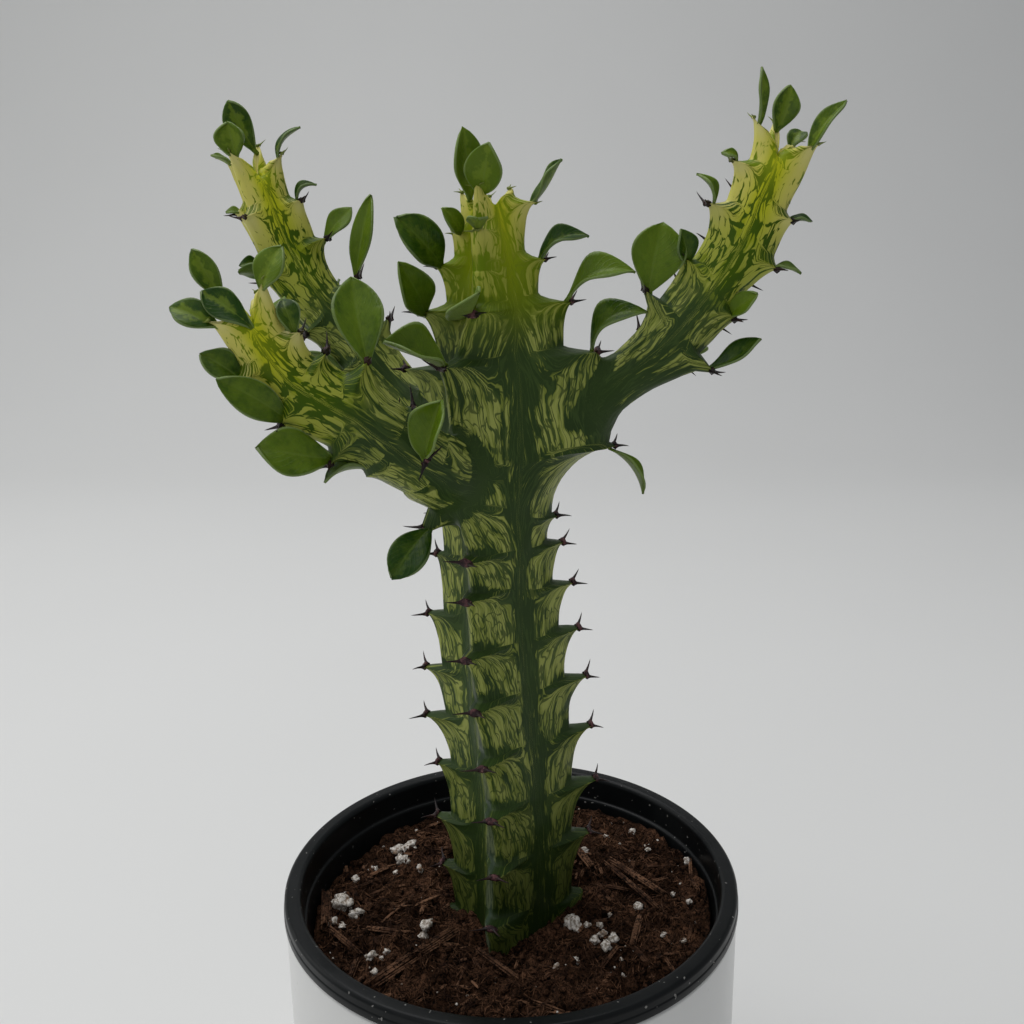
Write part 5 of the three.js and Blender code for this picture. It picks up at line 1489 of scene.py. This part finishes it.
# %% The leaves that were measured
LEAVES = [  # stem, rib, tooth (or the place where no tooth is), tip in mm, width, face, bend, fold
    ("trunk", 3, 15, (-7, -8, 271.7), 7, (0.2, -1, 0.2), 0.05, 18),
    ("trunk", 0, 15, (-1.8, -12, 268.4), 8, (0, -1, 0.1), 0.04, 18),
    ("trunk", 1, 14, (12.8, -2, 265.8), 5, (-0.5, -0.3, 0.8), -0.06, 28),
    ("trunk", 1, 13, (18.5, -0.5, 250.5), 6, (0, -0.5, 1), 0.22, 24),
    ("trunk", 1, 12, (28.5, 0, 242.9), 8, (0, -0.6, 1), 0.24, 20),
    ("trunk", 1, 11, (31.4, 0.5, 234.4), 8, (-0.5, -0.5, 0.8), 0.3, 24),
    ("trunk", 1, 10, (31.3, 2, 193.9), 5, (1, -0.4, 0.3), 0.14, 26),
    ("trunk", 3, 13, (-20.9, -9, 254.7), 9.5, (0.2, -1, 0.3), 0.12, 18),
    ("trunk", 3, 14, (-11.6, -8, 256.3), 4.5, (0.2, -1, 0.2), 0.12, 18),
    ("trunk", 0, 14, (-4.3, -14, 254), 4.5, (0, -1, 0.6), 0.12, 18),
    ("trunk", 3, 12, (-20.5, -11, 245.7), 8, (0.3, -1, 0.2), 0.12, 18),
    ("trunk", None, (175.5, -94, 12.4), (-4.1, -24, 240.3), 8.5, (-0.3, -0.6, 1), -0.1, 36),
    ("trunk", 0, 11, (-23.3, -20, 230.7), 10, (0.1, -0.6, 1), 0.05, 38),
    ("front_arm", 0, 1, (-24, -18, 181.2), 9, (-0.4, -1, 0.5), 0.1, 10),
    ("right_arm", 0, 2, (34.9, 5, 253.1), 12, (0, -1, 0), 0.05, 12),
    ("right_arm", 0, 3, (38.2, 1, 251.5), 6, (0.4, -1, 0), 0.1, 20),
    ("right_arm", 0, 4, (41.7, 3, 262.8), 3.6, (0, -0.6, 1), 0.25, 25),
    ("right_arm", 0, 5, (46.8, 3.5, 266.9), 3, (0, -0.6, 1), 0.3, 25),
    ("right_arm", 0, 6, (54.9, 5, 283.9), 5, (0.9, -0.6, 0.1), 0.05, 25),
    ("right_arm", 3, 6, (62.2, 10, 281), 6, (0.1, -1, 0.1), 0.05, 18),
    ("right_arm", 1, 6, (72.8, 4.5, 277.1), 5, (-0.6, -0.7, 0.5), 0.12, 28),
    ("right_arm", 1, 5, (66.4, 3, 252.8), 3.2, (0, -0.3, 1), 0.1, 20),
    ("right_arm", 1, 4, (64.2, 1, 242), 3.6, (0.2, -0.3, 1), 0.15, 20),
    ("right_arm", 1, 3, (54.9, 0, 238), 5, (-0.6, -0.9, 0.3), 0.1, 20),
    ("right_arm", 1, 2, (56, 0, 228.4), 7, (-0.3, -0.6, 1), -0.12, 28),
    ("back_arm", 0, 6, (-59.5, 15, 275.8), 7, (0, -1, 0.1), 0.05, 18),
    ("back_arm", 2, 6, (-60.4, 21, 281), 6.5, (0.1, -1, 0.1), 0.05, 18),
    ("back_arm", 3, 6, (-64.9, 20, 269.4), 3.4, (0, -0.3, 1), 0.1, 18),
    ("back_arm", 1, 6, (-44.5, 20, 275.1), 3.5, (-0.7, -0.5, 0.5), 0.22, 26),
    ("back_arm", 1, 5, (-41.5, 19.5, 262.7), 3, (-0.2, -0.5, 1), 0.3, 26),
    ("back_arm", 1, 4, (-33.8, 19, 257.5), 5.5, (-0.5, -1, 0.3), 0.12, 18),
    ("back_arm", 1, 3, (-29.1, 18, 260.3), 6, (-0.5, -1, 0.1), 0.06, 28),
    ("back_arm", 3, 5, (-62.8, 21, 257), 3, (0, -0.4, 1), 0.1, 18),
    ("back_arm", 3, 4, (-60.1, 19, 245.1), 4, (0, -0.6, 1), 0.2, 20),
    ("front_arm", 3, 7, (-57.3, -27, 249), 5, (0.3, -1, 0.1), 0.05, 18),
    ("front_arm", 0, 7, (-60.5, -33, 238.7), 6, (0.1, -1, 0.7), 0.1, 18),
    ("front_arm", None, (66, 10, 4.6), (-54.5, -33, 241.5), 6, (0.3, -1, 0.5), 0.1, 18),
    ("front_arm", 1, 7, (-39.7, -31, 249.3), 6.5, (-0.4, -1, 0.2), 0.12, 20),
    ("front_arm", 1, 6, (-41, -28, 239.5), 4.5, (0, -1, 0.5), 0.3, 20),
    ("front_arm", 0, 6, (-55.8, -33, 230.1), 6, (0, -1, 0.8), 0.12, 20),
    ("front_arm", 0, 5, (-51.5, -39, 226.2), 7, (0.2, -1, 0.4), 0.1, 10),
    ("front_arm", 0, 4, (-46, -36, 212.8), 9.5, (0.1, -1, 0.4), 0.1, 14),
    ("front_arm", 1, 4, (-28.8, -21, 243.3), 10, (0.3, -1, 0.1), 0.06, 16),
    ("front_arm", None, (26, 16, 8.6), (-11.8, -27, 219.9), 10, (-0.8, -0.8, 0.1), 0.06, 34),
]
BARE_TEETH = [  # young teeth that carry no leaf
    ("trunk", 0, 12), ("trunk", 0, 13), ("trunk", 2, 15), ("trunk", 3, 11),
    ("front_arm", 2, 7), ("front_arm", 1, 3),
]

# %% One leaf
LEAF_ACROSS = 10
LEAF_ALONG = 16
LEAF_THICKNESS = 0.5
LEAF_FRESHNESS = (22, 4)  # leaves turn fresh up this stretch of a stem
WIDEST_PLACE = 0.58  # of the blade's length
ROOT_DEPTH = 1.6  # the root lies this far inside the skin
ROOT_DROP = (0.6, 2.2)  # and this far below a tooth's tip, or a horn's


def add_leaf(bm, root, tip, face, width, bend, fold, draw, fresh):
    """One blade from its root on a tooth to its tip."""
    uv = bm.loops.layers.uv["blade"]
    tint, fresh_layer = bm.verts.layers.float["tint"], bm.verts.layers.float["fresh"]
    line = tip - root
    length, heading = line.length, line.normalized()
    normal = (face - heading * face.dot(heading)).normalized()
    side = heading.cross(normal)
    lean, ripple, tone = draw(-0.10, 0.10), draw(0.03, 0.08) * width, draw()
    phase, twist = draw(0, math.tau), math.radians(draw(-22, 22))
    power = math.log(0.5) / math.log(WIDEST_PLACE + draw(-0.05, 0.07))
    lopsided, curl, cup = draw(-0.12, 0.12), draw(-0.10, 0.06) * length, draw(0.7, 1.5)
    made = bmesh.ops.create_grid(bm, x_segments=LEAF_ACROSS, y_segments=LEAF_ALONG, size=1)["verts"]
    for loop in {loop for v in made for loop in v.link_loops}:
        loop[uv].uv = ((loop.vert.co.x + 1) / 2, (loop.vert.co.y + 1) / 2)
    for v in made:
        v[tint], v[fresh_layer] = tone, fresh
        s, t = v.co.x, (v.co.y + 1) / 2
        body = math.sin(math.pi * t ** power) ** 0.78 if 0 < t < 1 else 0.0
        half = width / 2 * max(body, 0.13 * (1 - t) + 0.012) * (1 + lopsided * (1 if s > 0 else -1))
        hollow = math.sin(math.radians(fold)) * abs(s) ** 1.3 * half * cup + curl * t ** 3 * (1 - t) * 4
        hollow -= 0.03 * width * math.exp(-(s / 0.16) ** 2) * math.sin(math.pi * t)
        wave = ripple * abs(s) ** 3 * math.sin(t * 9 + phase + (2 if s > 0 else 0))
        across = s * half * math.cos(math.radians(fold * 0.8))
        middle = root + line * t + side * (lean * length * t * (1 - t))
        arch = bend * length * 4 * t * (1 - t)
        turn = Matrix.Rotation(twist * t, 3, heading)
        v.co = middle + turn @ (side * across + normal * (hollow + wave)) + normal * arch


def leaf_root(stem, rib_index, tooth):
    """Where a leaf starts, sunk in its tooth, and how fresh it is there."""
    is_horn = rib_index is not None and tooth == len(stem["ribs"][rib_index]) - 1
    along, angle, reach = tooth if rib_index is None else stem["ribs"][rib_index][tooth][:3]
    root = place_on(stem, along - ROOT_DROP[is_horn], angle, reach - ROOT_DEPTH)[0]
    return root, float(growth(stem, along, LEAF_FRESHNESS))

# %% All leaves
LEAFY_TEETH = 5  # the top teeth of each rib, where unmeasured leaves grow
LEAST_LEAF_PLACE = 25  # and only this far along a stem

bm = bmesh.new()
bm.loops.layers.uv.new("blade")
bm.verts.layers.float.new("tint")
bm.verts.layers.float.new("fresh")
shape_draw = Draw(907)
for name, rib_index, tooth, tip, width, face, bend, fold in LEAVES:
    root, fresh = leaf_root(STEMS[name], rib_index, tooth)
    add_leaf(bm, root, Vector(tip), Vector(face), width, bend, fold, shape_draw, fresh)

draw = Draw(8200)
listed = {place[:3] for place in LEAVES} | set(BARE_TEETH)
top_teeth = [(name, rib_index, len(teeth) - LEAFY_TEETH + index, index) for name, stem in STEMS.items()
             for rib_index, teeth in enumerate(stem["ribs"]) for index in range(LEAFY_TEETH)]
grown = 0
for name, rib_index, tooth, index in top_teeth:
    stem = STEMS[name]
    along, angle, reach = stem["ribs"][rib_index][tooth][:3]
    if (name, rib_index, tooth) in listed or along < LEAST_LEAF_PLACE or draw() < 0.5:
        continue
    _, outward, forward, _ = place_on(stem, along, angle + 30 * (draw() - 0.5), reach)
    length = 6 + 4 * draw() if index > 2 else 8 + 6 * draw()
    root, fresh = leaf_root(stem, rib_index, tooth)
    tip = root + (outward * 0.75 + forward * (0.5 + 0.4 * draw())) * length
    width = length * (0.5 + 0.15 * draw())
    add_leaf(bm, root, tip, forward - outward * 0.6, width, 0.16, 18, shape_draw, fresh)
    grown += 1
print("leaves:", len(LEAVES) + grown)
leaves = to_object("euphorbia_leaves", bm)

# %% [markdown]
# A leaf's colour follows the blade's own UV map: a paler midrib, faint side veins, a thin pale rim,
# a mottled yellow middle on the freshest ones, and a change from leaf to leaf.

# %% Leaf colours
def leaf_material(name, deep, light, rim_strength):
    material, nodes = new_material(
        name, Specular_IOR_Level=0.2, Subsurface_Weight=0.1,
        Subsurface_Radius=(0.0008, 0.0014, 0.0003), Subsurface_Scale=1.0,
    )
    blade = nodes.split(nodes.add("ShaderNodeUVMap", uv_map="blade").outputs[0])
    across, along = nodes.off_middle(blade[0]), blade[1]
    tone = nodes.noise(nodes.place(), 150.0, 3.0, 0.6)
    net = nodes.noise(nodes.place(), 620.0, 3.0, 0.6)

    midrib = nodes.times(nodes.step(across, 0.045, 0.012), nodes.step(along, 1.0, 0.55))
    veins = nodes.plus(nodes.times(along, 62.0), nodes.times(across, -48.0))
    veins = nodes.step(nodes.math("SINE", veins), 0.75, 1.0)
    blotch = nodes.noise(nodes.place(), 420.0, 3.0, 0.6)
    ragged = nodes.plus(across, nodes.times(nodes.minus(blotch, 0.5), 1.1))
    fresh = nodes.math("MAXIMUM", nodes.attribute("fresh"), 0.25)
    heart = nodes.times(nodes.step(ragged, 0.26, 0.08), fresh)

    green = nodes.plus(nodes.times(tone, 0.9), nodes.times(nodes.attribute("tint"), 0.8))
    green = nodes.plus(green, nodes.times(nodes.minus(net, 0.5), 0.7))
    green = nodes.mix(nodes.step(green, 0.45, 1.15), deep, light)
    green = nodes.mix(nodes.times(heart, 0.6), green, (0.20, 0.28, 0.02))
    green = nodes.mix(nodes.times(veins, 0.06), green, (0.15, 0.23, 0.04))
    green = nodes.mix(nodes.times(midrib, 0.3), green, (0.17, 0.25, 0.04))
    green = nodes.mix(nodes.times(nodes.step(across, 0.455, 0.49), rim_strength), green, (0.25, 0.32, 0.13))
    green = nodes.mix(nodes.step(along, 0.14, 0.02), green, (0.13, 0.20, 0.02))
    relief = nodes.plus(nodes.times(veins, 0.3), nodes.times(net, 0.6))
    relief = nodes.plus(relief, nodes.times(tone, 2.0))
    satin = nodes.step(tone, 0.3, 0.7, 0.30, 0.44)
    nodes.dress(Base_Color=green, Roughness=satin, Normal=nodes.bump(relief, 0.35, 0.0004))
    return material

# %% Flesh of the leaves
for colours in (
    ("leaf_upper", (0.014, 0.050, 0.001), (0.100, 0.165, 0.006), 0.5),
    ("leaf_underside", (0.065, 0.115, 0.016), (0.130, 0.185, 0.040), 0.25),
):
    leaves.data.materials.append(leaf_material(*colours))
flesh = leaves.modifiers.new("flesh", "SOLIDIFY")
flesh.thickness = LEAF_THICKNESS * MM
flesh.offset = 0
flesh.material_offset = 1
apply_modifiers(leaves)
leaves.data.shade_smooth()
hand_in(leaves, "euphorbia", "euphorbia")

# %% [markdown]
# ## Sizes and finish
#
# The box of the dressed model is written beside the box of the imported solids, and the two should
# agree within a few per cent.

# %% Finish
size = {"cad": CAD_BOX, "visual": [list(corner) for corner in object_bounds()]}
for key, box in size.items():
    print(key, "box in mm:", [[round(v / MM, 1) for v in corner] for corner in box])
